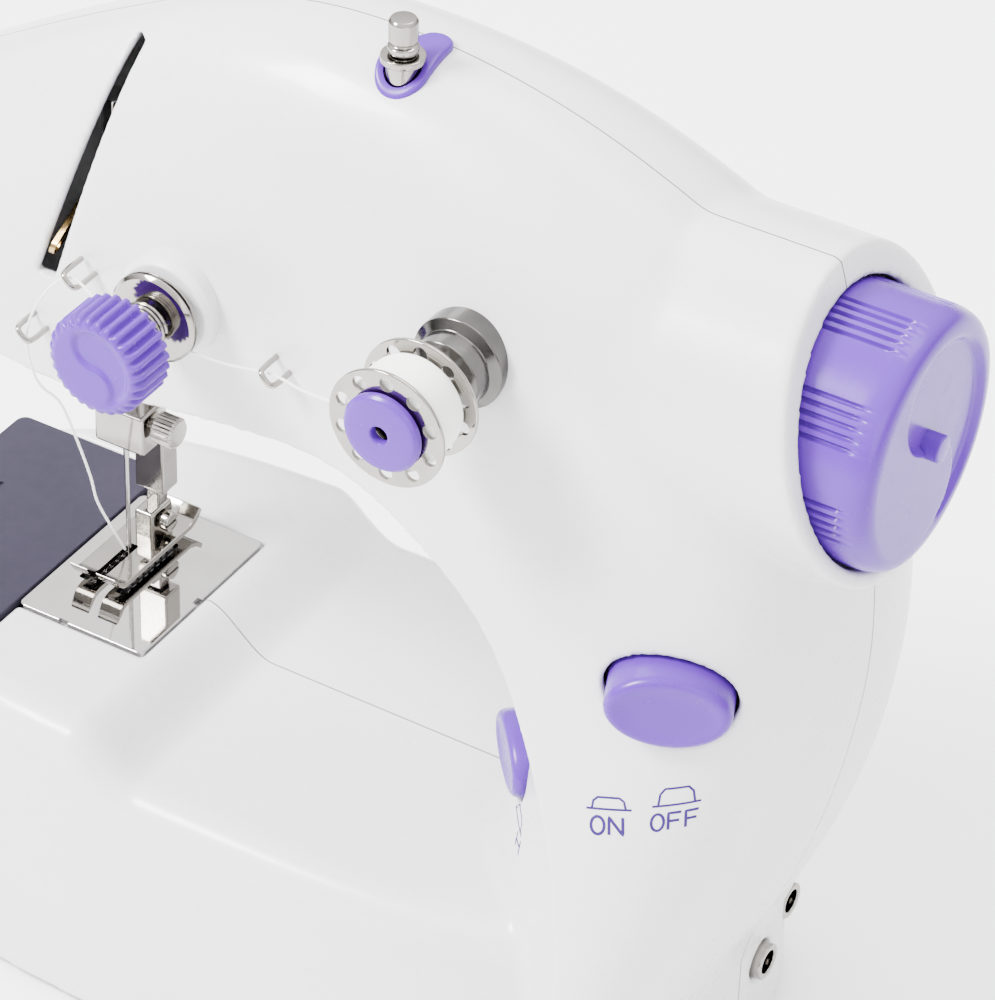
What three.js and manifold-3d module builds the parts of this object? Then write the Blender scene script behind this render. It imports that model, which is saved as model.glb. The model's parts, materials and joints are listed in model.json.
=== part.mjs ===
// A small battery sewing machine, built from separate solids.
// Millimetres, +Z up, +X towards the handwheel, +Y towards the back.
// The design frame has its zero at the middle of the needle plate's top; the last group moves it
// so that the exported frame has its origin at the bottom centre of the machine's box.
import * as THREE from "three";
import { ParametricGeometry } from "three/addons/geometries/ParametricGeometry.js";
import { mergeVertices } from "three/addons/utils/BufferGeometryUtils.js";
import Module from "manifold-3d";

const wasm = await Module();
wasm.setup();

// ---------- driving dimensions ----------
const WALL = 2.4; // moulded housing wall
const GAP = 0.3; // clearance between pieces that touch
const GROUND = -56; // table, below the needle plate's top
const BASE_BOTTOM = -54.5; // lower rim of the housing
const BASE_LEFT = -50;
const BASE_RIGHT = 124;
const BASE_HALF_DEPTH = 44.3; // at the top of the bed
const BASE_ROUNDNESS = 3; // exponent of its super-ellipse plan
const BASE_FLARE = 5.7; // how much wider each side is at the bottom
const FLOOR_Z = -8.5; // the low floor under the arm
const BED_EDGE_X = 16; // right edge of the raised bed
const PARTING_Y = 0; // the two housing halves meet here

const SHAFT_Z = 88.8; // main shaft and handwheel
const SHAFT_R = 2;
const WHEEL_R = 21.7;
const WHEEL_LEFT = 131;
const WHEEL_RIGHT = 149.4;
const COWL = { r: 26.3, z: 90.2 };
const COWL_BORE_R = 22.3;
const COWL_LEFT = 100;
const COWL_RIM_X = 133; // rim at the bore's top
const COWL_RIM_Z = 111;
const COWL_RIM_LEAN = 0.29; // the rim runs out to the right as it goes down

const NEEDLE = { x: -3.8, y: 1.6, tip: -0.6 };
const PRESSER = { x: -3.8, y: 10.5 };
const PLATE = { width: 26.5, depth: 38, thick: 1.2 };
const SOLE_Z = 1.5; // underside of the presser foot
const CRANK_R = 10; // half of the needle bar's stroke

const LOWER_SHAFT_Z = -17;
const TIMING = { left: 95, right: 99, r: 7 };
const DRIVE = { left: 104, right: 108, r: 12, motorR: 3.5 };
const MOTOR = { z: 46, r: 12, left: 110, right: 135 };
const BELT_THICK = 1.2;

const TENSION = { x: 26.3, z: 83.2, face: -48, pinch: -30.7 };
const KNOB = { r: 9.1, depth: 9, ribs: 28 };
const BOBBIN = { x: 82.2, z: 95.3, front: -49.9, back: -39.7, r: 10.25, hub: 3.2, holeR: 1.35 };
const TAB_THICK = 1.2;
const SPOOL = { x: 58.8, y: -9, travel: 28, top: 138.8 };
const POWER = { x: 123.6, y: -33.4, z: 48.7, width: 22, height: 15 };
const SPEED = { x: 89, y: -18.5, z: 9, width: 20, height: 14 };
const JACK = { z: -37, y: 8, r: 3.4, face: 125.3 };
const PEDAL_JACK = { y: 24, face: 121.2 };
const COVER = { left: -46, right: -13.8, halfDepth: 27, thick: 1.8 };
const DOOR = { left: 22, right: 90, halfDepth: 32, top: -51.5, bottom: -53.5 };
const FOOT_PADS = [[-25, -30], [-25, 30], [99, -30], [99, 30]];

const ORIGIN = { x: 50.7, y: -1.2, z: GROUND }; // bottom centre of the whole machine's box

// The take-up slot lies in one slanted plane: x = SLOT.c + SLOT.ay * y + SLOT.az * z.
const SLOT = { c: -29.6, ay: -0.16, az: 0.32, width: 2.2 };
const TAKE_UP = { y: -4, z: 92, reach: 21.5, thick: 1, rest: THREE.MathUtils.degToRad(-30) };
const LIFTER = { x: PRESSER.x, z: 64, length: 20 };

// ---------- materials ----------
const finish = (color, roughness, metalness = 0) =>
  new THREE.MeshStandardMaterial({ color, roughness, metalness });
const WHITE = finish(0xf0f0f3, 0.25);
const PURPLE = finish(0xb39ae6, 0.3);
const NICKEL = finish(0xc9c4bd, 0.22, 1);
const MIRROR = finish(0xe8e6e4, 0.05, 1);
const STEEL = finish(0x8d9096, 0.4, 1);
const BRASS = finish(0xc9a45c, 0.3, 1);
const BLACK = finish(0x1b1b1d, 0.5);
const RUBBER = finish(0x2a2a2c, 0.9);
const THREAD = finish(0xf7f5f2, 0.9);
const SMOKE = finish(0x4a4854, 0.2);

// ---------- solid helpers ----------
// A closed three.js geometry as a solid that can be joined and cut.
function solid(geometry) {
  const bare = new THREE.BufferGeometry();
  bare.setAttribute("position", geometry.getAttribute("position"));
  if (geometry.index) bare.setIndex(geometry.index);
  const merged = mergeVertices(bare, 1e-4);
  const index = merged.index.array;
  const kept = [];
  for (let i = 0; i < index.length; i += 3) {
    const [a, b, c] = [index[i], index[i + 1], index[i + 2]];
    if (a !== b && b !== c && c !== a) kept.push(a, b, c);
  }
  const mesh = new wasm.Mesh({
    numProp: 3,
    vertProperties: merged.attributes.position.array,
    triVerts: new Uint32Array(kept),
  });
  return new wasm.Manifold(mesh);
}

// Each vertex of a geometry sent through a function of its position.
function shaped(geometry, change) {
  const position = geometry.getAttribute("position");
  const p = new THREE.Vector3();
  for (let i = 0; i < position.count; i++) {
    p.fromBufferAttribute(position, i);
    change(p);
    position.setXYZ(i, p.x, p.y, p.z);
  }
  return geometry;
}

const join = (first, ...others) => others.reduce((sum, next) => sum.add(next), first);
const cut = (first, ...others) => others.reduce((left, next) => left.subtract(next), first);

// A box from its low and high corners.
function box(low, high) {
  const size = low.map((value, i) => high[i] - value);
  const middle = low.map((value, i) => (high[i] + value) / 2);
  return solid(new THREE.BoxGeometry(...size).translate(...middle));
}

// Turns a geometry built along +Y so that it runs along the named axis.
function along(axis, geometry) {
  if (axis === "x") geometry.rotateZ(-Math.PI / 2);
  if (axis === "z") geometry.rotateX(Math.PI / 2);
  return geometry;
}

const onAxis = (axis, across, value) =>
  axis === "x" ? [value, ...across] : axis === "y" ? [across[0], value, across[1]] : [...across, value];

// A round bar along an axis; across gives its place on the other two axes.
function rod(axis, radius, from, to, across = [0, 0], sides = 12) {
  const geometry = along(axis, new THREE.CylinderGeometry(radius, radius, to - from, sides));
  return solid(geometry.translate(...onAxis(axis, across, (from + to) / 2)));
}

// A turned piece: profile is a list of [radius, height] that starts and ends on the axis or closes.
function turned(axis, profile, across = [0, 0], sides = 16) {
  const points = profile.map(([r, h]) => new THREE.Vector2(r, h));
  if (THREE.ShapeUtils.area(points) < 0) points.reverse();
  const geometry = along(axis, new THREE.LatheGeometry(points, sides));
  return solid(geometry.translate(...onAxis(axis, across, 0)));
}

// A flat outline in X and Z, given thickness along Y.
function slabXZ(shape, front, back, options = {}) {
  const settings = { depth: back - front, bevelEnabled: false, curveSegments: 8, ...options };
  const geometry = new THREE.ExtrudeGeometry(shape, settings);
  return solid(geometry.rotateX(Math.PI / 2).translate(0, back, 0));
}

// A flat outline in X and Y, given thickness along Z.
function slabXY(shape, bottom, top, options = {}) {
  const settings = { depth: top - bottom, bevelEnabled: false, curveSegments: 8, ...options };
  return solid(new THREE.ExtrudeGeometry(shape, settings).translate(0, 0, bottom));
}

function ovalShape(x, y, width, height) {
  const shape = new THREE.Shape();
  shape.absellipse(x, y, width / 2, height / 2, 0, Math.PI * 2, false, 0);
  return shape;
}

// The plan of the base: |x|^n + |y|^n = 1, stretched to its half length and half depth.
function superEllipse(middleX, halfLength, halfDepth) {
  const shape = new THREE.Shape();
  const sides = 44;
  const bulge = (value) => Math.sign(value) * Math.abs(value) ** (2 / BASE_ROUNDNESS);
  for (let i = 0; i < sides; i++) {
    const angle = ((i + 0.5) / sides) * Math.PI * 2;
    const x = middleX + halfLength * bulge(Math.cos(angle));
    const y = halfDepth * bulge(Math.sin(angle));
    if (i === 0) shape.moveTo(x, y);
    else shape.lineTo(x, y);
  }
  return shape;
}

// A bent wire of round section through a list of points.
function wire(points, radius, steps, sides = 8) {
  const curve = new THREE.CatmullRomCurve3(points.map((p) => new THREE.Vector3(...p)));
  const section = new THREE.Shape();
  section.absarc(0, 0, radius, 0, Math.PI * 2, false);
  return solid(
    new THREE.ExtrudeGeometry(section, {
      steps,
      extrudePath: curve,
      bevelEnabled: false,
      curveSegments: sides / 2,
    }),
  );
}

// Turns a geometry built along +Z so that it runs along a direction, then moves it to a point.
function aimed(geometry, direction, point) {
  const turn = new THREE.Quaternion().setFromUnitVectors(
    new THREE.Vector3(0, 0, 1),
    direction.clone().normalize(),
  );
  return solid(geometry.applyQuaternion(turn).translate(...point));
}

const machine = new THREE.Group();
const design = new THREE.Group();
design.position.set(-ORIGIN.x, -ORIGIN.y, -ORIGIN.z);
machine.add(design);

// Adds one named piece to the machine.
function piece(name, shape, material) {
  const data = shape.getMesh();
  const geometry = new THREE.BufferGeometry();
  geometry.setAttribute("position", new THREE.BufferAttribute(data.vertProperties, 3));
  geometry.setIndex(new THREE.BufferAttribute(data.triVerts, 1));
  geometry.computeVertexNormals();
  const mesh = new THREE.Mesh(geometry, material);
  mesh.name = name;
  design.add(mesh);
}

// ---------- housing ----------
// The head, arm and tower are one swept form. Each station gives the outer seam point (x, z), the
// front edge of the inner side (x, z), half the depth, and how far the inner side swells past the edge.
const STATIONS = [
  { outer: [-46.5, 85], inner: [-43.5, 65], half: 14, swell: 1.5 },
  { outer: [-38, 94.5], inner: [-32, 59], half: 18.5, swell: 2.5 },
  { outer: [-22, 104.5], inner: [-16, 56], half: 21.5, swell: 3 },
  { outer: [0, 116.5], inner: [0, 55.5], half: 23, swell: 3 },
  { outer: [20, 125.7], inner: [20, 59.5], half: 24.5, swell: 3 },
  { outer: [40, 130.3], inner: [38, 63], half: 26, swell: 3 },
  { outer: [60, 130.4], inner: [54, 64.5], half: 27, swell: 3 },
  { outer: [80, 127], inner: [66, 63], half: 29, swell: 3.5 },
  { outer: [98, 121], inner: [76, 59], half: 30.8, swell: 4 },
  { outer: [115, 112.5], inner: [84, 54], half: 32, swell: 5 },
  { outer: [129.5, 100], inner: [90, 48.5], half: 33, swell: 6 },
  { outer: [138, 83], inner: [95, 41.5], half: 34, swell: 8 },
  { outer: [141.5, 64], inner: [99, 34.5], half: 35.5, swell: 11 },
  { outer: [142.5, 45], inner: [103, 26.5], half: 37.3, swell: 15 },
  { outer: [140.5, 26], inner: [107, 17], half: 39.4, swell: 21 },
  { outer: [136.5, 7], inner: [110.5, 3], half: 41.7, swell: 29 },
  { outer: [130.8, -11], inner: [112.3, -14], half: 43.2, swell: 36 },
  { outer: [123.5, -29], inner: [113, -30], half: 43.2, swell: 36 },
];
const ROUNDNESS = 2.7; // exponent of the outer half's super-ellipse
const SWEEP_STEPS = 20;
const ROUND_STEPS = 20;

const outerCurve = new THREE.CatmullRomCurve3(
  STATIONS.map((s) => new THREE.Vector3(s.outer[0], s.half, s.outer[1])),
);
const innerCurve = new THREE.CatmullRomCurve3(
  STATIONS.map((s) => new THREE.Vector3(s.inner[0], s.swell, s.inner[1])),
);

// A point of the swept form: u runs from the head's end to the base, v once round the section.
function sweptPoint(u, v, inset, target) {
  const outer = outerCurve.getPoint(u);
  const inner = innerCurve.getPoint(u);
  const half = outer.y - inset;
  const swell = inner.y;
  const inward = new THREE.Vector2(inner.x - outer.x, inner.z - outer.z).normalize();
  const top = new THREE.Vector2(outer.x, outer.z).addScaledVector(inward, inset);
  const edge = new THREE.Vector2(inner.x, inner.z).addScaledVector(inward, -inset);
  const front = v < 0.5;
  const turn = (front ? v : 1 - v) * 2; // 0 at the outer seam, 1 at the inner seam
  let depth;
  let along;
  if (turn < 0.5) {
    const angle = turn * Math.PI;
    depth = Math.sin(angle) ** (2 / ROUNDNESS);
    along = edge.clone().lerp(top, Math.cos(angle) ** (2 / ROUNDNESS));
  } else {
    depth = 2 - turn * 2;
    along = edge.clone().addScaledVector(inward, swell * (1 - depth * depth));
  }
  target.set(along.x, (front ? -1 : 1) * half * depth, along.y);
}

// The swept form as a solid. Its left end is closed by a rounded cap and its lower end by a flat one.
function sweptSolid(inset) {
  const CAP = 3;
  const rows = SWEEP_STEPS + CAP + 1;
  const capMiddle = new THREE.Vector3(-45, 0, 75);
  const geometry = new ParametricGeometry(
    (v, row, target) => {
      const step = Math.round(row * rows);
      const u = THREE.MathUtils.clamp((step - CAP) / SWEEP_STEPS, 0, 1);
      sweptPoint(u, v, inset, target);
      if (step < CAP) {
        const angle = ((CAP - step) / CAP) * (Math.PI / 2);
        target.lerp(capMiddle, 1 - Math.cos(angle));
        target.x -= (5 - inset) * Math.sin(angle);
      }
      if (step === rows) target.set(112, 0, -25);
    },
    ROUND_STEPS,
    rows,
  );
  return solid(geometry);
}

// The base: a rounded box that flares out towards the table.
function baseSolid(inset, bottom) {
  const top = -inset;
  const middle = (BASE_LEFT + BASE_RIGHT) / 2;
  const shape = superEllipse(middle, BASE_RIGHT - middle - inset, BASE_HALF_DEPTH - inset);
  const edge = 1.5;
  const geometry = new THREE.ExtrudeGeometry(shape, {
    depth: top - bottom - edge * 2,
    steps: 3,
    bevelThickness: edge,
    bevelSize: edge,
    bevelOffset: -edge,
    bevelSegments: 1,
  });
  geometry.translate(0, 0, bottom + edge);
  return solid(
    shaped(geometry, (p) => {
      const drop = THREE.MathUtils.clamp(p.z / BASE_BOTTOM, 0, 1);
      p.y *= 1 + (BASE_FLARE / BASE_HALF_DEPTH) * drop ** 2;
    }),
  );
}

// The air above the low floor, to the right of the raised bed.
function throatCut(drop) {
  const floor = FLOOR_Z - drop;
  const shape = new THREE.Shape();
  shape.moveTo(BED_EDGE_X - drop * 0.6, 30);
  shape.lineTo(BED_EDGE_X - drop * 0.6, 0.5);
  shape.bezierCurveTo(BED_EDGE_X + 4 - drop * 0.6, 0.5, BED_EDGE_X + 4, floor, BED_EDGE_X + 10, floor);
  shape.lineTo(160, floor);
  shape.lineTo(160, 30);
  return slabXZ(shape, -80, 80);
}

// The cowl round the handwheel, with its leaning rim.
function cowlSolid() {
  const barrel = rod("x", COWL.r, COWL_LEFT, 160, [0, COWL.z], 28);
  const rim = new THREE.Shape();
  const rimX = (z) => COWL_RIM_X + (COWL_RIM_Z - z) * COWL_RIM_LEAN;
  rim.moveTo(COWL_LEFT - 20, 130);
  rim.lineTo(COWL_LEFT - 20, 60);
  rim.lineTo(rimX(60), 60);
  rim.lineTo(rimX(130), 130);
  return barrel.intersect(slabXZ(rim, -40, 40));
}

// The slanted slab in which the take-up lever moves.
function slotSlab(width, front, back, bottom, top) {
  const geometry = new THREE.BoxGeometry(width, back - front, top - bottom);
  geometry.translate(0, (back + front) / 2, (top + bottom) / 2);
  return solid(
    shaped(geometry, (p) => {
      p.x += SLOT.c + SLOT.ay * p.y + SLOT.az * p.z;
    }),
  );
}

// An oval prism that stands on a point of the housing and runs along its push direction.
function ovalAlong(width, height, length, direction, point) {
  const geometry = new THREE.ExtrudeGeometry(ovalShape(0, 0, width, height), {
    depth: length,
    bevelEnabled: false,
    curveSegments: 12,
  });
  return aimed(geometry.translate(0, 0, -length / 2), direction, point);
}
const SPEED_PUSH = new THREE.Vector3(0.75, 0.66, 0);
const POWER_PUSH = new THREE.Vector3(-0.4, 0.91, 0);

function housing() {
  const outside = join(
    cut(baseSolid(0, BASE_BOTTOM), throatCut(0)),
    sweptSolid(0),
    cowlSolid(),
  );
  const inside = join(
    cut(baseSolid(WALL, BASE_BOTTOM - 8), throatCut(WALL)),
    sweptSolid(WALL),
    rod("x", COWL_BORE_R, 128, 170, [0, SHAFT_Z], 28),
  );
  const openings = [
    // bed: plate seat, well under it, slide cover seat and the bobbin well under that
    box(
      [-PLATE.width / 2 - GAP, -PLATE.depth / 2 - GAP, -PLATE.thick - GAP],
      [PLATE.width / 2 + GAP, PLATE.depth / 2 + GAP, 5],
    ),
    box([-10.5, -14, -20], [10.5, 14, 5]),
    box([-60, -COVER.halfDepth - GAP, -COVER.thick - GAP], [-13, COVER.halfDepth + GAP, 5]),
    box([-36, -16, -20], [-12, 16, 5]),
    // underside of the head: needle bar and presser bar
    box([-9.5, -3.6, 40], [3.5, 16, 62]),
    slotSlab(SLOT.width, -40, -4, 76, 119),
    // front: tension stem, winder post, buttons
    rod("y", 3.2, -40, -10, [TENSION.x, TENSION.z]),
    rod("y", 3.2, -45, -20, [BOBBIN.x, BOBBIN.z]),
    ovalAlong(POWER.width + 1.2, POWER.height + 1.2, 24, POWER_PUSH, [POWER.x, POWER.y, POWER.z]),
    ovalAlong(SPEED.width + 1.2, SPEED.height + 1.2, 16, SPEED_PUSH, [SPEED.x, SPEED.y, SPEED.z]),
    // top: the spool pin's sleeve
    rod("z", 3.1, 120, 140, [SPOOL.x, SPOOL.y]),
    // right: jacks
    rod("x", JACK.r + GAP, 110, 140, [JACK.y, JACK.z]),
    rod("x", JACK.r + GAP, 105, 140, [PEDAL_JACK.y, JACK.z]),
    // back of the head: presser lifter
    rod("y", 2.4, 10, 40, [LIFTER.x, LIFTER.z]),
  ];
  const shell = cut(outside, inside, ...openings);
  const far = 200;
  const frontHalf = box([-far, -far, -far], [far, PARTING_Y - GAP / 2, far]);
  const rearHalf = box([-far, PARTING_Y + GAP / 2, -far], [far, far, far]);
  piece("front_shell", shell.intersect(frontHalf), WHITE);
  piece("rear_shell", shell.intersect(rearHalf), WHITE);
}
housing();

// Everything inside the skin of the arm and tower, a gap wider: it trims what is seated on it.
const skin = sweptSolid(-GAP);

function closures() {
  const middle = (BASE_LEFT + BASE_RIGHT) / 2;
  const halfDepth = BASE_HALF_DEPTH + BASE_FLARE - WALL - 2.2;
  const plan = superEllipse(middle, BASE_RIGHT - middle - WALL - 0.9, halfDepth);
  const doorHole = box(
    [DOOR.left - GAP, -DOOR.halfDepth - GAP, -60],
    [DOOR.right + GAP, DOOR.halfDepth + GAP + 0.3, -50],
  );
  piece("bottom_cover", cut(slabXY(plan, DOOR.bottom, DOOR.top), doorHole), WHITE);
  const thumbRecess = box([50, -26, -55], [62, -22, -52.7]);
  piece(
    "battery_door",
    cut(
      box([DOOR.left, -DOOR.halfDepth, DOOR.bottom], [DOOR.right, DOOR.halfDepth, DOOR.top]),
      thumbRecess,
    ),
    WHITE,
  );
  FOOT_PADS.forEach(([x, y], i) => {
    piece(`foot_pad_${i + 1}`, rod("z", 5, GROUND, DOOR.bottom - GAP, [x, y], 16), RUBBER);
  });

  const feedSlot = (x) => box([x, -7.2, -5], [x + 2, 10.2, 5]);
  const notches = [
    box([12.4, -2.4, -5], [15, -0.6, 5]),
    box([-4.5, -20, -5], [-2.5, -18.5, 5]),
  ];
  const plate = box(
    [-PLATE.width / 2, -PLATE.depth / 2, -PLATE.thick],
    [PLATE.width / 2, PLATE.depth / 2, 0],
  );
  const needleHole = rod("z", 1.1, -5, 5, [NEEDLE.x, NEEDLE.y], 16);
  piece(
    "needle_plate",
    cut(plate, feedSlot(-8.7), feedSlot(-0.9), needleHole, ...notches),
    MIRROR,
  );
  const gripRibs = [-42, -39.5, -37].map((x) => box([x, -8, -0.5], [x + 0.9, 8, 1]));
  const cover = box([COVER.left, -COVER.halfDepth, -COVER.thick], [COVER.right, COVER.halfDepth, 0]);
  piece("slide_cover", cut(cover, ...gripRibs), SMOKE);
}
closures();

function chassis() {
  const bearing = (left, right, z, half, top) =>
    cut(
      box([left, -5.5, z - half], [right, 17, top]),
      rod("x", SHAFT_R + GAP, left - 1, right + 1, [0, z]),
    );
  const guideHole = (at, radius) => rod("z", radius, 50, 80, [at.x, at.y], 16);
  const blocks = cut(
    join(
      box([-9, -9, 57.8], [5, 17, 60.4]),
      box([-9, -2, 73.4], [0.5, 17, 75.6]),
    ),
    guideHole(NEEDLE, 2.8),
    guideHole(PRESSER, 2.3),
  );
  const lug = cut(
    join(box([2.8, -9, 57.8], [5, -5, 94]), box([2.8, -9, 88], [5, -1.6, 94.5])),
    leverPin(1.3, 0, 8),
  );
  const headPlate = cut(
    box([-9, 15, 57.8], [5, 17, 86]),
    rod("y", 2, 10, 20, [LIFTER.x, LIFTER.z], 12),
  );
  piece(
    "chassis",
    join(
      blocks,
      lug,
      headPlate,
      box([-9, 15, 78], [117, 17, 86]),
      bearing(16, 21, SHAFT_Z, 5, 94),
      bearing(112, 117, SHAFT_Z, 5, 94),
      box([112, 15, -30], [117, 18, 90]),
      box([112, 12.3, 38], [117, 16, 54]),
      box([2, 15, -30], [117, 18, -24]),
      bearing(4, 9, LOWER_SHAFT_Z, 6, -11.6),
      bearing(84, 89, LOWER_SHAFT_Z, 6, -11.6),
      box([2, 15, -30], [9, 18, -12]),
      box([84, 15, -30], [89, 18, -12]),
    ),
    STEEL,
  );
}
chassis();

// A loop of belt round two pulleys on the same Y, one above the other.
function beltLoop(left, right, highZ, highR, lowZ, lowR) {
  const outline = (extra) => {
    const shape = new THREE.Shape();
    const lean = Math.asin((highR - lowR) / (highZ - lowZ));
    shape.absarc(0, highZ, highR + extra, -lean, Math.PI + lean, false);
    shape.absarc(0, lowZ, lowR + extra, Math.PI + lean, Math.PI * 2 - lean, false);
    return shape;
  };
  const slab = (extra) =>
    new THREE.ExtrudeGeometry(outline(extra), {
      depth: right - left,
      bevelEnabled: false,
      curveSegments: 8,
    });
  const inner = slab(GAP).scale(1, 1, 3).translate(0, 0, left - right);
  const loop = (geometry) => {
    geometry.rotateX(Math.PI / 2);
    geometry.rotateZ(Math.PI / 2);
    return solid(geometry.translate(left, 0, 0));
  };
  return cut(loop(slab(GAP + BELT_THICK)), loop(inner));
}

// A pulley with two flanges on a bore that clears its shaft.
function pulley(left, right, radius, bore = SHAFT_R + GAP) {
  const flange = 0.8;
  return [
    [bore, left - flange],
    [radius + 1.5, left - flange],
    [radius + 1.5, left],
    [radius, left],
    [radius, right],
    [radius + 1.5, right],
    [radius + 1.5, right + flange],
    [bore, right + flange],
    [bore, left - flange],
  ];
}

function upperDrive() {
  const bore = SHAFT_R + GAP;
  piece("main_shaft", rod("x", SHAFT_R, 8.8, 136, [0, SHAFT_Z], 12), STEEL);
  const pinZ = SHAFT_Z - 2;
  const pinY = Math.sqrt(CRANK_R ** 2 - 4);
  piece(
    "crank_disc",
    cut(
      join(
        rod("x", CRANK_R + 2.5, 10.2, 12.6, [0, SHAFT_Z], 18),
        rod("x", 1.5, 8.7, 11, [pinY, pinZ], 12),
      ),
      rod("x", bore, 5, 15, [0, SHAFT_Z], 12),
    ),
    STEEL,
  );
  const timing = pulley(TIMING.left, TIMING.right, TIMING.r);
  piece("timing_pulley_upper", turned("x", timing, [0, SHAFT_Z], 12), BLACK);
  piece("timing_pulley_lower", turned("x", timing, [0, LOWER_SHAFT_Z], 12), BLACK);
  const drive = pulley(DRIVE.left, DRIVE.right, DRIVE.r);
  piece("main_pulley", turned("x", drive, [0, SHAFT_Z], 18), BLACK);
  piece(
    "timing_belt",
    beltLoop(TIMING.left + GAP, TIMING.right - GAP, SHAFT_Z, TIMING.r, LOWER_SHAFT_Z, TIMING.r),
    RUBBER,
  );
  piece(
    "drive_belt",
    beltLoop(DRIVE.left + GAP, DRIVE.right - GAP, SHAFT_Z, DRIVE.r, MOTOR.z, DRIVE.motorR),
    RUBBER,
  );
  piece(
    "motor_body",
    turned(
      "x",
      [
        [0, MOTOR.left + 1],
        [4, MOTOR.left],
        [MOTOR.r, MOTOR.left],
        [MOTOR.r, MOTOR.right],
        [0, MOTOR.right],
      ],
      [0, MOTOR.z],
      16,
    ),
    STEEL,
  );
  piece(
    "motor_rotor",
    turned(
      "x",
      [
        [0, 101],
        [1.2, 101],
        [1.2, DRIVE.left - 0.8],
        [DRIVE.motorR + 1, DRIVE.left - 0.8],
        [DRIVE.motorR + 1, DRIVE.left],
        [DRIVE.motorR, DRIVE.left],
        [DRIVE.motorR, DRIVE.right],
        [1.2, DRIVE.right],
        [1.2, MOTOR.left - GAP],
        [0, MOTOR.left - GAP],
      ],
      [0, MOTOR.z],
      10,
    ),
    BRASS,
  );
  piece(
    "handwheel",
    turned(
      "x",
      [
        [bore, WHEEL_LEFT + 0.5],
        [6, WHEEL_LEFT + 0.5],
        [6, WHEEL_RIGHT - 4],
        [WHEEL_R - 2.6, WHEEL_RIGHT - 4.5],
        [WHEEL_R - 2.6, WHEEL_LEFT],
        [WHEEL_R, WHEEL_LEFT],
        [WHEEL_R, WHEEL_RIGHT - 4.5],
        [WHEEL_R - 0.9, WHEEL_RIGHT - 1.6],
        [WHEEL_R - 3.6, WHEEL_RIGHT - 0.2],
        [2.3, WHEEL_RIGHT],
        [2.3, WHEEL_RIGHT + 2],
        [0, WHEEL_RIGHT + 2],
        [0, 136.4],
        [bore, 136.4],
        [bore, WHEEL_LEFT + 0.5],
      ],
      [0, SHAFT_Z],
      24,
    ),
    PURPLE,
  );
}
upperDrive();

function lowerDrive() {
  piece("lower_shaft", rod("x", SHAFT_R, -8.6, 102, [0, LOWER_SHAFT_Z], 12), STEEL);
  const bore = SHAFT_R + GAP;
  piece(
    "shuttle_hook",
    cut(
      turned(
        "x",
        [
          [0, -9.2],
          [4, -9.2],
          [4, -9.8],
          [10.6, -9.8],
          [10.6, -16],
          [9.9, -16],
          [9.9, -11.2],
          [0, -11.2],
        ],
        [0, LOWER_SHAFT_Z],
        16,
      ),
      box([-17, 4, LOWER_SHAFT_Z + 2], [-11.4, 12, LOWER_SHAFT_Z + 12]),
      rod("x", bore, -10.6, 0, [0, LOWER_SHAFT_Z], 12),
    ),
    STEEL,
  );
  piece(
    "bobbin_case",
    turned(
      "x",
      [
        [0, -13],
        [9.4, -13],
        [9.4, -28],
        [8.6, -28],
        [8.6, -14.4],
        [0, -14.4],
      ],
      [0, LOWER_SHAFT_Z],
      16,
    ),
    NICKEL,
  );
  piece(
    "lower_bobbin",
    turned(
      "x",
      [
        [2, -15],
        [8, -15],
        [8, -15.8],
        [4, -15.8],
        [4, -25.2],
        [8, -25.2],
        [8, -26],
        [2, -26],
        [2, -15],
      ],
      [0, LOWER_SHAFT_Z],
      14,
    ),
    NICKEL,
  );
  const bar = (x) => box([x, -5.5, -4.5], [x + 1.4, 8.5, 0.6]);
  const toothGap = (y) => box([-10, y, 0], [4, y + 0.8, 2]);
  const gaps = [-4.7, -2.9, -1.1, 0.7, 2.5, 4.3, 6.1].map(toothGap);
  piece(
    "feed_dog",
    cut(join(bar(-8.4), bar(-0.6), box([-8.4, 5, -5], [0.8, 8.5, -3])), ...gaps),
    STEEL,
  );
}
lowerDrive();

function needleUnit() {
  const yokeZ = SHAFT_Z - 2;
  const yoke = cut(
    box([5.7, -12.5, yokeZ - 2.8], [8.3, 12.5, yokeZ + 2.8]),
    box([6.5, -11.4, yokeZ - 1.6], [9, 11.4, yokeZ + 1.6]),
  );
  piece(
    "needle_bar",
    join(
      rod("z", 2.5, 29, 98, [NEEDLE.x, NEEDLE.y], 16),
      box([NEEDLE.x, NEEDLE.y - 2, yokeZ - 2.8], [6.4, NEEDLE.y + 2, yokeZ + 2.8]),
      yoke,
    ),
    STEEL,
  );
  const clampBody = box([-8, -2, 27.4], [2.4, 4.9, 35.5]);
  piece(
    "needle_clamp",
    cut(
      clampBody,
      rod("z", 2.8, 28.7, 40, [NEEDLE.x, NEEDLE.y], 16),
      rod("z", 0.85, 20, 30, [NEEDLE.x, NEEDLE.y], 12),
      rod("x", 1.3, 0.5, 5, [NEEDLE.y, 32.5], 12),
    ),
    NICKEL,
  );
  piece(
    "clamp_screw",
    join(
      rod("x", 1, 0.8, 4, [NEEDLE.y, 32.5], 12),
      rod("x", 2.9, 3.4, 7.6, [NEEDLE.y, 32.5], 18),
    ),
    NICKEL,
  );
  piece(
    "needle",
    turned(
      "z",
      [
        [0, NEEDLE.tip],
        [0.42, NEEDLE.tip + 3.2],
        [0.42, 22.5],
        [0.55, 23.5],
        [0.55, 28.2],
        [0, 28.2],
      ],
      [NEEDLE.x, NEEDLE.y],
      10,
    ),
    STEEL,
  );
}
needleUnit();

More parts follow.
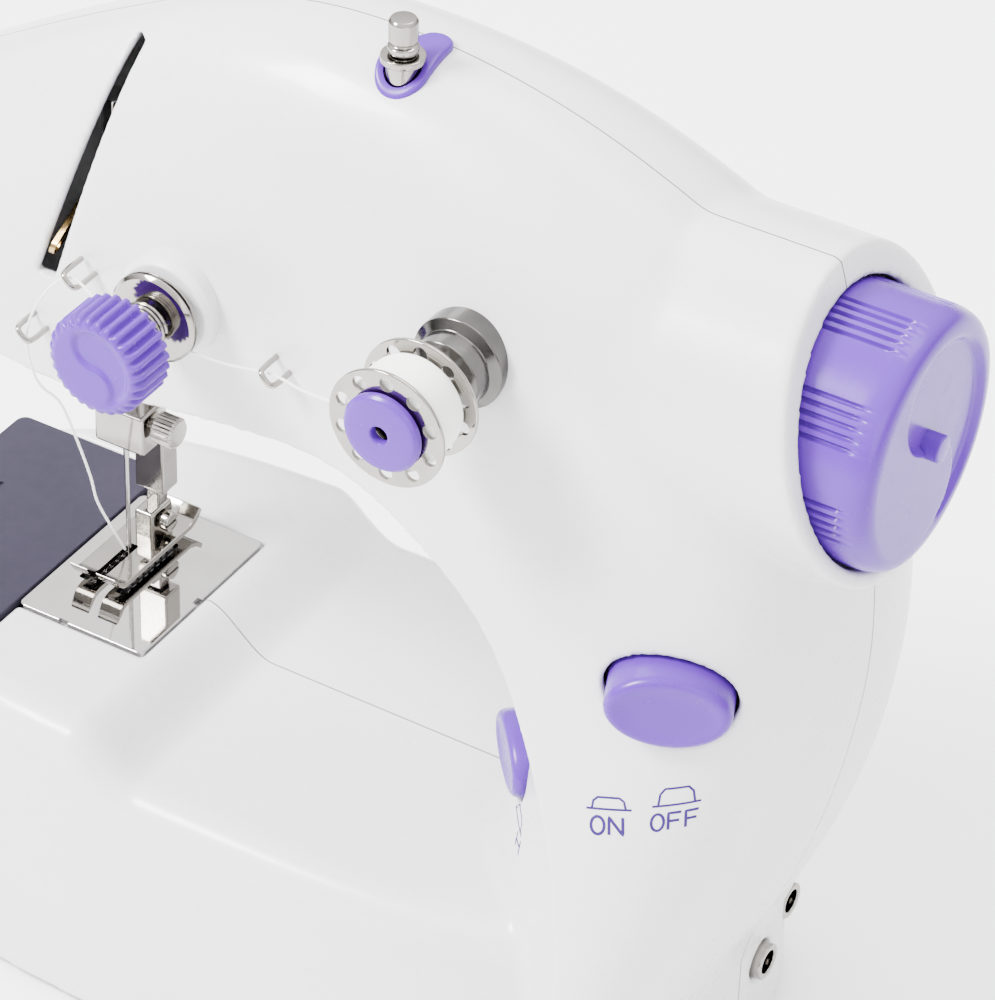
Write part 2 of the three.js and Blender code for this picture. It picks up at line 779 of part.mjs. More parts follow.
function presserUnit() {
  piece(
    "presser_bar",
    join(
      rod("z", 2, 11.5, 94, [PRESSER.x, PRESSER.y], 16),
      rod("z", 4, 66, 68, [PRESSER.x, PRESSER.y], 18),
      box([PRESSER.x - 3.1, PRESSER.y - 2.3, 11.5], [PRESSER.x + 3.1, PRESSER.y + 2.3, 24]),
    ),
    NICKEL,
  );
  const left = PRESSER.x - 4.9;
  const right = PRESSER.x + 5.3;
  const side = new THREE.Shape();
  side.moveTo(-9.5, SOLE_Z + 2.6);
  side.lineTo(-6.5, SOLE_Z);
  side.lineTo(13.5, SOLE_Z);
  side.lineTo(17, SOLE_Z + 2.4);
  side.lineTo(16.3, SOLE_Z + 3.3);
  side.lineTo(13, SOLE_Z + 1.1);
  side.lineTo(-6.2, SOLE_Z + 1.1);
  side.lineTo(-9.9, SOLE_Z + 3.6);
  const sole = new THREE.ExtrudeGeometry(side, { depth: right - left, bevelEnabled: false });
  sole.rotateX(Math.PI / 2);
  sole.rotateZ(Math.PI / 2);
  const toeGap = box([NEEDLE.x - 1, -12, 0], [NEEDLE.x + 1, 3.2, 8]);
  piece(
    "presser_foot",
    cut(
      join(
        solid(sole.translate(left, 0, 0)),
        box([PRESSER.x - 2, 6, SOLE_Z + 0.5], [PRESSER.x + 2, 12.5, 8]),
        box([PRESSER.x - 1.4, 9, 6], [PRESSER.x + 1.4, 12, 11.2]),
      ),
      toeGap,
      rod("x", 1.3, -4.6, 4, [9.2, 5.5], 12),
    ),
    NICKEL,
  );
  piece("foot_screw", join(rod("x", 1, -4.3, 0, [9.2, 5.5], 12), rod("x", 1.9, -1.4, 0.4, [9.2, 5.5], 14)), NICKEL);
}

function lifter() {
  const { x, z, length } = LIFTER;
  const arm = new THREE.Shape();
  arm.moveTo(x, z - 3.4);
  arm.absarc(x, z, 3.4, -Math.PI / 2 - 0.35, Math.PI / 2 - 0.2, true);
  arm.lineTo(x + length, z - 3);
  arm.absarc(x + length, z - 6, 3, Math.PI / 2, -Math.PI / 2, true);
  piece(
    "presser_lever",
    join(
      rod("y", 1.6, 13, 26, [x, z], 16),
      rod("y", 2.4, 12.9, 14.6, [x, z - 0.8], 18),
      slabXZ(arm, 25, 28),
    ),
    STEEL,
  );
}

// A round bar along the take-up lever's own slanted axis, measured from its pivot.
function leverPin(radius, from, to) {
  const { y, z } = TAKE_UP;
  const axis = new THREE.Vector3(1, -SLOT.ay, -SLOT.az).normalize();
  const turn = new THREE.Quaternion().setFromUnitVectors(new THREE.Vector3(0, 1, 0), axis);
  const bar = new THREE.CylinderGeometry(radius, radius, to - from, 12);
  bar.translate(0, (from + to) / 2, 0).applyQuaternion(turn);
  return solid(bar.translate(SLOT.c + SLOT.ay * y + SLOT.az * z, y, z));
}

function takeUp() {
  const { y, z, reach, thick, rest } = TAKE_UP;
  const outline = new THREE.Shape();
  outline.absarc(0, 0, 2.8, Math.PI / 2, -Math.PI / 2, false);
  outline.lineTo(reach - 1.6, -1.3);
  outline.absarc(reach - 1.6, 0, 1.6, -Math.PI / 2, Math.PI / 2, false);
  const flat = new THREE.ExtrudeGeometry(outline, {
    depth: thick,
    bevelEnabled: false,
    curveSegments: 8,
  });
  const eye = new THREE.CylinderGeometry(0.8, 0.8, 4, 10).rotateX(Math.PI / 2);
  eye.translate(reach - 1.6, 0, 0);
  // Local X runs from the pivot to the tip, towards the front and down; the plate lies in the slot.
  const place = (geometry) => {
    geometry.rotateZ(rest);
    return shaped(geometry, (p) => {
      const across = thick / 2 - p.z;
      p.set(across, y - p.x, z + p.y);
      p.x += SLOT.c + SLOT.ay * p.y + SLOT.az * p.z;
    });
  };
  const lever = cut(solid(place(flat)), solid(place(eye)));
  piece("take_up_lever", join(lever, leverPin(1, 0, 4.8)), BRASS);
}

function tension() {
  const at = [TENSION.x, TENSION.z];
  const back = TENSION.face + KNOB.depth;
  const collar = [
    [2.4, -20],
    [9, -20],
    [9, -27.2],
    [8, -28.4],
    [2.4, -28.4],
    [2.4, -20],
  ];
  piece("tension_boss", cut(turned("y", collar, at, 18), skin), WHITE);
  piece("tension_stem", rod("y", 2, -44.5, -17, at, 16), STEEL);
  const disc = (from, to) => [
    [2.3, from],
    [7.4, from],
    [8, from - 0.5],
    [8, to - 0.5],
    [2.3, to],
    [2.3, from],
  ];
  const { pinch } = TENSION;
  piece("tension_disc_rear", turned("y", disc(pinch + 0.7, pinch + 1.5), at, 18), NICKEL);
  piece(
    "tension_disc_front",
    turned("y", disc(pinch + 0.7, pinch + 1.5).map(([r, y]) => [r, 2 * pinch - y]), at, 18),
    NICKEL,
  );
  const turns = 3;
  const coil = [];
  for (let i = 0; i <= turns * 8; i++) {
    const angle = (i / 8) * Math.PI * 2;
    const y = THREE.MathUtils.lerp(pinch - 2.4, back + 1.1, i / (turns * 8));
    coil.push([TENSION.x + 3.9 * Math.cos(angle), y, TENSION.z + 3.9 * Math.sin(angle)]);
  }
  piece("tension_spring", wire(coil, 0.55, 36, 6), NICKEL);
  const points = [];
  for (let i = 0; i < KNOB.ribs * 2; i++) {
    const angle = (i / (KNOB.ribs * 2)) * Math.PI * 2;
    const r = i % 2 ? KNOB.r - 1.4 : KNOB.r - 0.7;
    const point = new THREE.Vector2(r * Math.cos(angle), r * Math.sin(angle));
    points.push(point.add(new THREE.Vector2(...at)));
  }
  const body = slabXZ(new THREE.Shape(points), TENSION.face + 0.7, back, {
    depth: KNOB.depth - 1.4,
    bevelThickness: 0.7,
    bevelSize: 0.7,
    bevelSegments: 1,
  });
  piece("tension_knob", cut(body, rod("y", 2.3, TENSION.face + 3, 0, at, 16)), PURPLE);
}

function winder() {
  const at = [BOBBIN.x, BOBBIN.z];
  const { front, back } = BOBBIN;
  const post = [
    [0, -22],
    [1.6, -22],
    [8, -22],
    [8, -29.5],
    [6.4, -30.5],
    [6.4, -34],
    [3, -36.5],
    [3, back + 0.4],
    [1.6, back + 0.4],
    [1.6, front + 1],
    [0, front + 1],
  ];
  const plug = rod("y", 2.6, -28, -24, at, 16);
  piece("winder_post", join(cut(turned("y", post, at, 18), skin), plug), NICKEL);
  const spool = turned(
    "y",
    [
      [2, front],
      [BOBBIN.r, front],
      [BOBBIN.r, front + 0.7],
      [BOBBIN.hub, front + 0.7],
      [BOBBIN.hub, back - 0.7],
      [BOBBIN.r, back - 0.7],
      [BOBBIN.r, back],
      [2, back],
      [2, front],
    ],
    at,
    22,
  );
  const holes = [];
  for (let i = 0; i < 10; i++) {
    const angle = ((i + 0.5) / 10) * Math.PI * 2;
    const x = BOBBIN.x + 7.3 * Math.cos(angle);
    const z = BOBBIN.z + 7.3 * Math.sin(angle);
    holes.push(rod("y", BOBBIN.holeR, front - 1, back + 1, [x, z], 6));
  }
  piece("bobbin", cut(spool, ...holes), NICKEL);
  const winding = [
    [BOBBIN.hub + 0.3, front + 1],
    [8.6, front + 1],
    [8.6, back - 1],
    [BOBBIN.hub + 0.3, back - 1],
    [BOBBIN.hub + 0.3, front + 1],
  ];
  piece("bobbin_thread", turned("y", winding, at, 18), THREAD);
  const cap = [
    [1.5, front - GAP],
    [6.75, front - GAP],
    [6.75, front - 1.5],
    [6.1, front - 2.1],
    [1.5, front - 2.1],
    [1.5, front - GAP],
  ];
  piece("bobbin_cap", turned("y", cap, at, 18), PURPLE);
}

function spoolHolder() {
  const { x, y, travel, top } = SPOOL;
  const tab = new THREE.Shape();
  tab.absarc(x, y, 5, Math.PI - 0.2, Math.PI * 2 + 0.2, false);
  tab.absarc(x + 1.4, y + 8, 3, 0.2, Math.PI - 0.2, false);
  const pinHole = rod("z", 3.1, 110, 140, [x, y]);
  const cap = slabXY(tab, 115, 140).intersect(sweptSolid(-TAB_THICK - GAP));
  piece("spool_tab", cut(cap, pinHole, skin), PURPLE);
  const sleeve = [
    [2.1, 117],
    [2.8, 117],
    [2.8, 131.2],
    [3.6, 131.2],
    [3.6, 132.4],
    [2.1, 132.4],
    [2.1, 117],
  ];
  piece("spool_sleeve", turned("z", sleeve, [x, y], 12), NICKEL);
  const pin = [
    [0, top - travel - 12],
    [1.8, top - travel - 12],
    [1.8, 132.9],
    [2.5, 132.9],
    [2.5, 134],
    [1.7, 134.4],
    [2.4, 135],
    [2.4, top - 0.5],
    [2, top],
    [0, top],
  ];
  piece("spool_pin", turned("z", pin, [x, y], 12), NICKEL);
}

function threadGuides() {
  const guide = (name, x, y, z) => {
    const staple = [
      [x - 1.3, y + 3, z + 1],
      [x - 1.3, y - 1.2, z + 1],
      [x - 0.9, y - 2.6, z + 0.9],
      [x + 0.9, y - 2.6, z - 0.9],
      [x + 1.3, y - 1.2, z - 1],
      [x + 1.3, y + 3, z - 1],
    ];
    piece(name, cut(wire(staple, 0.5, 12, 6), skin), NICKEL);
  };
  guide("thread_guide_1", 8, -26.3, 82);
  guide("thread_guide_2", -2.6, -25.3, 66.8);
  guide("thread_guide_3", 48, -28.7, 79.8);
}

function electrics() {
  const stand = (width, height, from, to, push, at, bevel) =>
    aimed(
      new THREE.ExtrudeGeometry(ovalShape(0, 0, width - bevel * 2, height - bevel * 2), {
        depth: to - from - bevel * 2,
        bevelThickness: bevel,
        bevelSize: bevel,
        bevelSegments: 1,
        curveSegments: 9,
      }).translate(0, 0, from + bevel),
      push,
      at,
    );
  const powerAt = [POWER.x, POWER.y, POWER.z];
  const speedAt = [SPEED.x, SPEED.y, SPEED.z];
  piece("power_button", stand(POWER.width, POWER.height, -3, 6, POWER_PUSH, powerAt, 1.3), PURPLE);
  piece("speed_button", stand(SPEED.width, SPEED.height, -1.8, 5.5, SPEED_PUSH, speedAt, 1.3), PURPLE);
  const behind = (size, push, at, distance, sideways) => {
    const geometry = new THREE.BoxGeometry(...size).translate(0, 0, size[2] / 2);
    const side = new THREE.Vector3(push.y, -push.x, 0).normalize();
    const point = new THREE.Vector3(...at).addScaledVector(push.clone().normalize(), distance);
    return aimed(geometry, push, point.addScaledVector(side, sideways).toArray());
  };
  piece("power_switch", behind([9, 8, 8], POWER_PUSH, powerAt, 9.6, 0), BLACK);
  piece("speed_switch", behind([8, 8, 4], SPEED_PUSH, speedAt, 8.6, 6), BLACK);

  const jack = (face) => [
    [0, face - 12],
    [JACK.r, face - 12],
    [JACK.r, face],
    [2.2, face],
    [2.2, face - 8],
    [0.6, face - 8],
    [0.6, face - 1.5],
    [0, face - 1.5],
  ];
  piece("dc_jack", turned("x", jack(JACK.face), [JACK.y, JACK.z], 12), NICKEL);
  piece("pedal_jack", turned("x", jack(PEDAL_JACK.face), [PEDAL_JACK.y, JACK.z], 12), NICKEL);
  const wall = 1.5;
  const top = -31.5;
  const low = [DOOR.left + 1, -DOOR.halfDepth + 1, DOOR.top + GAP];
  const high = [DOOR.right - 1, DOOR.halfDepth - 1, top];
  piece(
    "battery_box",
    cut(
      box(low, high),
      box(
        [low[0] + wall, low[1] + wall, low[2] - 5],
        [high[0] - wall, high[1] - wall, top - wall],
      ),
    ),
    BLACK,
  );
}

function thread() {
  const route = [
    [73.4, -45, 93.6],
    [69, -44, 91.5],
    [58, -36, 84.5],
    [48.2, -29.6, 79.8],
    [40, -30.4, 79.1],
    [35, -30.7, 79.1],
    [26.3, -30.7, 79],
    [18, -30.6, 79.8],
    [8, -27.7, 82],
    [1.5, -27.3, 76],
    [-2.6, -26.7, 66.8],
    [-3, -25.2, 58.4],
    [-3.2, -22.6, 53],
    [-3.7, -17, 46],
    [-4.6, -12, 35.8],
    [-4.7, -8, 24.7],
    [-4.5, -6.4, 18],
    [-3.9, -3, 10],
    [-3.8, 0.3, 3.4],
  ];
  piece("upper_thread", wire(route, 0.25, 44, 8), THREAD);
}

presserUnit();
lifter();
takeUp();
tension();
winder();
spoolHolder();
threadGuides();
electrics();
thread();

export default machine;
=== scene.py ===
"""A small battery sewing machine: fine surfaces, materials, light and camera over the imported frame."""
import json
import math

import bmesh
import bpy
import numpy as np
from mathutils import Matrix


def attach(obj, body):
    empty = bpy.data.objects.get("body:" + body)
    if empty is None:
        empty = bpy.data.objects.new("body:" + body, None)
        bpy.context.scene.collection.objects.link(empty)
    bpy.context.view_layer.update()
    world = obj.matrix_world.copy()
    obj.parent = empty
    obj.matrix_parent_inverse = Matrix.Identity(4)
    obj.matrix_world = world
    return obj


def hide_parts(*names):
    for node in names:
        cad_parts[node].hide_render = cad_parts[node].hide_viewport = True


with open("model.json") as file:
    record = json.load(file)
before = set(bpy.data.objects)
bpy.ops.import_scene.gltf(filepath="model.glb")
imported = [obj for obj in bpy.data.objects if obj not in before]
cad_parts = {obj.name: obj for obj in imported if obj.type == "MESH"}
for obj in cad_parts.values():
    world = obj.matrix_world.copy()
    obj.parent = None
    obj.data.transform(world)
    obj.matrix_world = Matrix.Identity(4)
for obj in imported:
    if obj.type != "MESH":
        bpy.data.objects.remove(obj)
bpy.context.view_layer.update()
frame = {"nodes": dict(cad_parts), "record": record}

import openvdb
from mathutils import Matrix, Vector
from mathutils.bvhtree import BVHTree

# Shapes are written in millimetres from the middle of the needle plate's top, +X to the handwheel.
ORIGIN = np.array([50.7, -1.2, -56.0])
SHAFT_Z = 88.8
NEEDLE = (-3.8, 1.6)
PRESSER = (-3.8, 10.5)
TENSION = (26.3, 83.2)
BOBBIN = (82.2, 95.3)
SPOOL = (58.8, -9.0)
PINCH_Y = -30.7  # where the tension discs meet
CLAMP_SCREW_Z = 32.5
FOOT_SCREW = (9.2, 5.5)  # y, z
JACK_Z = -37
LIFTER_Z = 64
COWL = (0, 90.2)  # y, z of its axis
COWL_R = 26.3
WHEEL_BORE_R = 22.3
FLOOR_Z = -8.5  # the low floor under the arm
BED_EDGE_X = 14  # where the raised bed starts to fall to the low floor
BED_FALL = 14  # how far along X the fall runs
BASE_BOTTOM = -54.5
WALL = 2.4
VOXEL = 0.62
SIDES = 96  # facets of the larger turned pieces


def metres(points):
    """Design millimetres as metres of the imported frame."""
    return (np.asarray(points, dtype=float) - ORIGIN) / 1000


# ---------- mesh helpers ----------
def new_object(name, mesh):
    """A mesh as an object in the scene."""
    piece = bpy.data.objects.new(name, mesh)
    bpy.context.scene.collection.objects.link(piece)
    return piece


def made(name, points, faces, smooth=True, sharp_deg=None):
    """One object from points in millimetres and faces."""
    mesh = bpy.data.meshes.new(name)
    mesh.from_pydata(metres(points).tolist(), [], [tuple(int(i) for i in f) for f in faces])
    mesh.validate()
    work = bmesh.new()
    work.from_mesh(mesh)
    bmesh.ops.remove_doubles(work, verts=work.verts, dist=1e-7)
    bmesh.ops.recalc_face_normals(work, faces=work.faces)
    work.to_mesh(mesh)
    work.free()
    if smooth:
        mesh.polygons.foreach_set("use_smooth", [True] * len(mesh.polygons))
        if sharp_deg:
            mesh.set_sharp_from_angle(angle=math.radians(sharp_deg))
    return new_object(name, mesh)


def bevelled(piece, width, segments=2, angle=35):
    """Rounds the sharp edges of a piece by a width in millimetres."""
    modifier = piece.modifiers.new("edge", "BEVEL")
    modifier.width = width / 1000
    modifier.segments = segments
    modifier.limit_method = "ANGLE"
    modifier.angle_limit = math.radians(angle)
    modifier.harden_normals = False
    applied(piece)
    return piece


def applied(piece):
    """Applies every modifier of a piece to its mesh."""
    graph = bpy.context.evaluated_depsgraph_get()
    done = bpy.data.meshes.new_from_object(piece.evaluated_get(graph))
    piece.modifiers.clear()
    piece.data = done
    return piece


def joined(name, pieces):
    """Several objects as one."""
    work = bmesh.new()
    for piece in pieces:
        work.from_mesh(piece.data)
    mesh = bpy.data.meshes.new(name)
    work.to_mesh(mesh)
    work.free()
    for piece in pieces:
        bpy.data.objects.remove(piece)
    return new_object(name, mesh)


def carved(piece, cutters, operation="DIFFERENCE"):
    """A piece cut by, or joined to, other pieces."""
    for cutter in cutters:
        modifier = piece.modifiers.new("cut", "BOOLEAN")
        modifier.operation = operation
        modifier.solver = "EXACT"
        modifier.object = cutter
        applied(piece)
        bpy.data.objects.remove(cutter)
    piece.data.set_sharp_from_angle(angle=math.radians(35))
    return piece


AXES = {"x": (0, 1, 2), "y": (1, 0, 2), "z": (2, 0, 1)}


def rounded_profile(profile, radius, steps=3):
    """A closed [r, h] profile with its corners rounded by up to a radius; points on the axis stay."""
    out = []
    count = len(profile)
    for i, (r, h) in enumerate(profile):
        here = np.array([r, h], float)
        before = np.array(profile[i - 1], float)
        after = np.array(profile[(i + 1) % count], float)
        if r < 1e-6 or radius <= 0:
            out.append((r, h))
            continue
        a, b = before - here, after - here
        la, lb = np.linalg.norm(a), np.linalg.norm(b)
        turn = math.acos(np.clip(np.dot(a, b) / (la * lb), -1, 1))
        if turn > 2.9:
            out.append((r, h))
            continue
        reach = min(radius / math.tan(turn / 2), la * 0.45, lb * 0.45)
        start, end = here + a / la * reach, here + b / lb * reach
        for k in range(steps + 1):
            t = k / steps
            p = (1 - t) ** 2 * start + 2 * t * (1 - t) * here + t * t * end
            out.append((max(p[0], 0), p[1]))
    return out


def lathed(
    name, axis, profile, across=(0, 0), sides=72, rounding=0.25, sharp=50, ripple=None, relief=None
):
    """A turned piece from a closed [r, h] profile in millimetres.

    ripple(angle, r, h) changes r, and relief(u, v, h) changes h at a place across the axis.
    """
    main, first, second = AXES[axis]
    rim = rounded_profile(profile, rounding)
    points, faces = [], []
    count = len(rim)
    for i in range(sides):
        angle = 2 * math.pi * i / sides
        for r, h in rim:
            if ripple:
                r = ripple(angle, r, h)
            u, v = r * math.cos(angle), r * math.sin(angle)
            point = [0, 0, 0]
            point[main] = relief(u, v, h) if relief else h
            point[first] = across[0] + u
            point[second] = across[1] + v
            points.append(point)
    for i in range(sides):
        j = (i + 1) % sides
        for k in range(count):
            m = (k + 1) % count
            if rim[k][0] < 1e-6 and rim[m][0] < 1e-6:
                continue
            faces.append((i * count + k, j * count + k, j * count + m, i * count + m))
    return made(name, points, faces, sharp_deg=sharp)


def rod(name, axis, radius, start, end, across=(0, 0), sides=48, rounding=0.2):
    """A round bar along an axis, with softened ends."""
    profile = [(0, start), (radius, start), (radius, end), (0, end)]
    return lathed(name, axis, profile, across, sides, rounding)


def smooth_path(points, steps):
    """A Catmull-Rom curve through points, as an even list."""
    p = np.asarray(points, float)
    p = np.vstack([2 * p[0] - p[1], p, 2 * p[-1] - p[-2]])
    out = []
    for i in range(1, len(p) - 2):
        for k in range(steps):
            t = k / steps
            a, b, c, d = p[i - 1], p[i], p[i + 1], p[i + 2]
            square = (2 * a - 5 * b + 4 * c - d) * t**2
            out.append(0.5 * (2 * b + (c - a) * t + square + (3 * b - a - 3 * c + d) * t**3))
    out.append(p[-2])
    return np.array(out)


def tube(name, path, radius, sides=10, closed=False, twist=None):
    """A round wire along a path; twist(angle, distance) scales its radius."""
    path = np.asarray(path, float)
    count = len(path)
    ahead = np.roll(path, -1, 0) - np.roll(path, 1, 0)
    if not closed:
        ahead[0], ahead[-1] = path[1] - path[0], path[-1] - path[-2]
    ahead /= np.linalg.norm(ahead, axis=1)[:, None]
    normal = np.cross(ahead[0], [0.3, 0.2, 0.93])
    normal /= np.linalg.norm(normal)
    distance = 0.0
    points, faces = [], []
    for i in range(count):
        normal = normal - ahead[i] * np.dot(normal, ahead[i])
        normal /= np.linalg.norm(normal)
        side = np.cross(ahead[i], normal)
        if i:
            distance += np.linalg.norm(path[i] - path[i - 1])
        for k in range(sides):
            angle = 2 * math.pi * k / sides
            r = radius * (twist(angle, distance) if twist else 1)
            points.append(path[i] + r * (normal * math.cos(angle) + side * math.sin(angle)))
    for i in range(count if closed else count - 1):
        j = (i + 1) % count
        for k in range(sides):
            m = (k + 1) % sides
            faces.append((i * sides + k, j * sides + k, j * sides + m, i * sides + m))
    if not closed:
        faces.append(tuple(range(sides)))
        faces.append(tuple(range((count - 1) * sides, count * sides)))
    return made(name, points, faces, sharp_deg=60)


def block(name, low, high, bevel=0.3, segments=2):
    """A box with rounded edges."""
    (a, b, c), (d, e, f) = low, high
    points = [(x, y, z) for x in (a, d) for y in (b, e) for z in (c, f)]
    faces = [(0, 1, 3, 2), (4, 6, 7, 5), (0, 4, 5, 1), (2, 3, 7, 6), (0, 2, 6, 4), (1, 5, 7, 3)]
    piece = made(name, points, faces, sharp_deg=35)
    return bevelled(piece, bevel, segments) if bevel else piece


def extruded(name, outline, low, high, plane="xy", bevel=0.25, segments=2):
    """A flat outline given thickness: plane xy rises along Z, xz runs along Y, yz along X."""
    count = len(outline)
    points = []
    for level in (low, high):
        for u, v in outline:
            points.append({"xy": (u, v, level), "xz": (u, level, v), "yz": (level, u, v)}[plane])
    faces = [tuple(range(count)), tuple(range(count, 2 * count))]
    faces += [(i, (i + 1) % count, count + (i + 1) % count, count + i) for i in range(count)]
    piece = made(name, points, faces, sharp_deg=35)
    return bevelled(piece, bevel, segments) if bevel else piece


def faired(piece):
    """Keeps large flat faces flat beside their rounded edges."""
    modifier = piece.modifiers.new("fair", "WEIGHTED_NORMAL")
    modifier.weight = 100
    modifier.keep_sharp = True
    return applied(piece)


def place(piece, body, material, *nodes, slot=None):
    """Gives a piece its material and body, and hides the nodes it stands for."""
    if len(piece.data.polygons) < 60000:
        faired(piece)
    piece.data.materials.clear()
    piece.data.materials.append(material)
    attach(piece, body)
    if nodes:
        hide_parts(*nodes)
    return piece


# ---------- materials ----------
def material(name):
    """A new node material, its tree and its shader."""
    made_material = bpy.data.materials.new(name)
    made_material.use_nodes = True
    tree = made_material.node_tree
    return made_material, tree, tree.nodes["Principled BSDF"]


def coordinates(tree, scale=(1, 1, 1)):
    """Object coordinates in millimetres."""
    source = tree.nodes.new("ShaderNodeTexCoord")
    mapping = tree.nodes.new("ShaderNodeMapping")
    mapping.inputs["Scale"].default_value = [1000 * s for s in scale]
    tree.links.new(source.outputs["Object"], mapping.inputs["Vector"])
    return mapping.outputs["Vector"]


def noise(tree, vector, scale, detail=3, roughness=0.5):
    """Noise over a vector, 0 to 1."""
    node = tree.nodes.new("ShaderNodeTexNoise")
    node.inputs["Scale"].default_value = scale
    node.inputs["Detail"].default_value = detail
    node.inputs["Roughness"].default_value = roughness
    tree.links.new(vector, node.inputs["Vector"])
    return node.outputs["Fac"]


def spread(tree, value, low, high):
    """A 0 to 1 value mapped to a range."""
    node = tree.nodes.new("ShaderNodeMapRange")
    node.inputs["From Min"].default_value = 0.3
    node.inputs["From Max"].default_value = 0.7
    node.inputs["To Min"].default_value = low
    node.inputs["To Max"].default_value = high
    tree.links.new(value, node.inputs["Value"])
    return node.outputs["Result"]


def tinted(tree, value, first, second):
    """A colour that runs from the first to the second with a value."""
    node = tree.nodes.new("ShaderNodeValToRGB")
    node.color_ramp.elements[0].position = 0.3
    node.color_ramp.elements[0].color = (*first, 1)
    node.color_ramp.elements[1].position = 0.7
    node.color_ramp.elements[1].color = (*second, 1)
    tree.links.new(value, node.inputs["Fac"])
    return node.outputs["Color"]


def bumped(tree, shader, value, distance, strength=1.0):
    """Surface grain of a height in millimetres."""
    node = tree.nodes.new("ShaderNodeBump")
    node.inputs["Distance"].default_value = distance / 1000
    node.inputs["Strength"].default_value = strength
    tree.links.new(value, node.inputs["Height"])
    tree.links.new(node.outputs["Normal"], shader.inputs["Normal"])


def plastic(name, light, dark, roughness, coat=0.0, grain=0.002, subsurface=0.0, shine=0.5):
    """Moulded plastic: slight colour drift, fine orange peel and uneven gloss."""
    made_material, tree, shader = material(name)
    vector = coordinates(tree)
    drift = noise(tree, vector, 0.035, 2)
    tree.links.new(tinted(tree, drift, dark, light), shader.inputs["Base Color"])
    gloss = noise(tree, vector, 0.3, 4)
    tree.links.new(spread(tree, gloss, roughness * 0.85, roughness * 1.2), shader.inputs["Roughness"])
    bumped(tree, shader, noise(tree, vector, 1.6, 2), grain)
    shader.inputs["Coat Weight"].default_value = coat
    shader.inputs["Coat Roughness"].default_value = 0.08
    shader.inputs["IOR"].default_value = 1.5
    shader.inputs["Specular IOR Level"].default_value = shine
    if subsurface:
        shader.inputs["Subsurface Weight"].default_value = subsurface
        shader.inputs["Subsurface Radius"].default_value = (1.0, 0.8, 0.8)
        shader.inputs["Subsurface Scale"].default_value = 0.002
    return made_material


def metal(name, light, dark, low, high, stretch=(1, 1, 1), scale=1.5, grain=0.002):
    """Metal with drifting tint, and polishing marks drawn out along a direction."""
    made_material, tree, shader = material(name)
    shader.inputs["Metallic"].default_value = 1.0
    fine = noise(tree, coordinates(tree, stretch), scale, 4, 0.6)
    broad = noise(tree, coordinates(tree), 0.12, 2)
    tree.links.new(tinted(tree, broad, dark, light), shader.inputs["Base Color"])
    tree.links.new(spread(tree, fine, low, high), shader.inputs["Roughness"])
    bumped(tree, shader, fine, grain)
    return made_material


WHITE = plastic("white_gloss", (0.66, 0.655, 0.675), (0.63, 0.625, 0.65), 0.3, 0.15, 0.0012, 0.03, 0.4)
PURPLE = plastic("purple_gloss", (0.09, 0.018, 0.31), (0.08, 0.015, 0.285), 0.24, 0.0, 0.0015, 0.0, 0.22)
PRINT = plastic("purple_print", (0.03, 0.01, 0.12), (0.026, 0.009, 0.105), 0.6, 0, 0.001, 0, 0.2)
SMOKE = plastic("smoked_plastic", (0.024, 0.021, 0.034), (0.02, 0.018, 0.029), 0.5, 0, 0.001, 0, 0.12)
BLACK = plastic("black_plastic", (0.012, 0.012, 0.013), (0.009, 0.009, 0.01), 0.5, 0, 0.004)
RUBBER = plastic("black_rubber", (0.014, 0.014, 0.015), (0.009, 0.009, 0.01), 0.8, 0, 0.01)
NICKEL = metal("nickel_plate", (0.33, 0.31, 0.285), (0.27, 0.255, 0.235), 0.06, 0.14)
DARK_NICKEL = metal("dark_nickel", (0.11, 0.105, 0.1), (0.08, 0.077, 0.074), 0.1, 0.22)
MIRROR = metal(
    "mirror_steel", (0.5, 0.485, 0.475), (0.45, 0.435, 0.425), 0.025, 0.06, (1, 0.1, 1), 2, 0.0003
)
STEEL = metal(
    "machined_steel", (0.3, 0.3, 0.305), (0.22, 0.22, 0.225), 0.25, 0.42, (1, 1, 0.1), 2.5, 0.003
)
BRASS = metal("brass", (0.5, 0.34, 0.14), (0.4, 0.26, 0.1), 0.2, 0.35)


def thread_material():
    """Spun thread: white fibres with a soft sheen and a fine lay."""
    made_material, tree, shader = material("white_thread")
    vector = coordinates(tree, (1, 1, 1))
    fibre = noise(tree, vector, 7, 4, 0.7)
    tone = tinted(tree, fibre, (0.74, 0.73, 0.71), (0.9, 0.9, 0.88))
    tree.links.new(tone, shader.inputs["Base Color"])
    bumped(tree, shader, fibre, 0.03)
    shader.inputs["Roughness"].default_value = 0.75
    shader.inputs["Sheen Weight"].default_value = 0.3
    shader.inputs["Sheen Roughness"].default_value = 0.5
    return made_material


THREAD = thread_material()

SLOT_MATERIALS = {
    "white_plastic": WHITE,
    "purple_plastic": PURPLE,
    "smoke_plastic": SMOKE,
    "polished_steel": MIRROR,
    "nickel": NICKEL,
    "steel": STEEL,
    "brass": BRASS,
    "black_plastic": BLACK,
    "rubber": RUBBER,
    "thread": THREAD,
}


def dress_nodes():
    """Every CAD node gets the procedural material of its slot."""
    for sub in frame["record"]["subparts"]:
        piece = frame["nodes"][sub["node"]]
        piece.data.materials.clear()
        piece.data.materials.append(SLOT_MATERIALS[sub["material_slot"]])


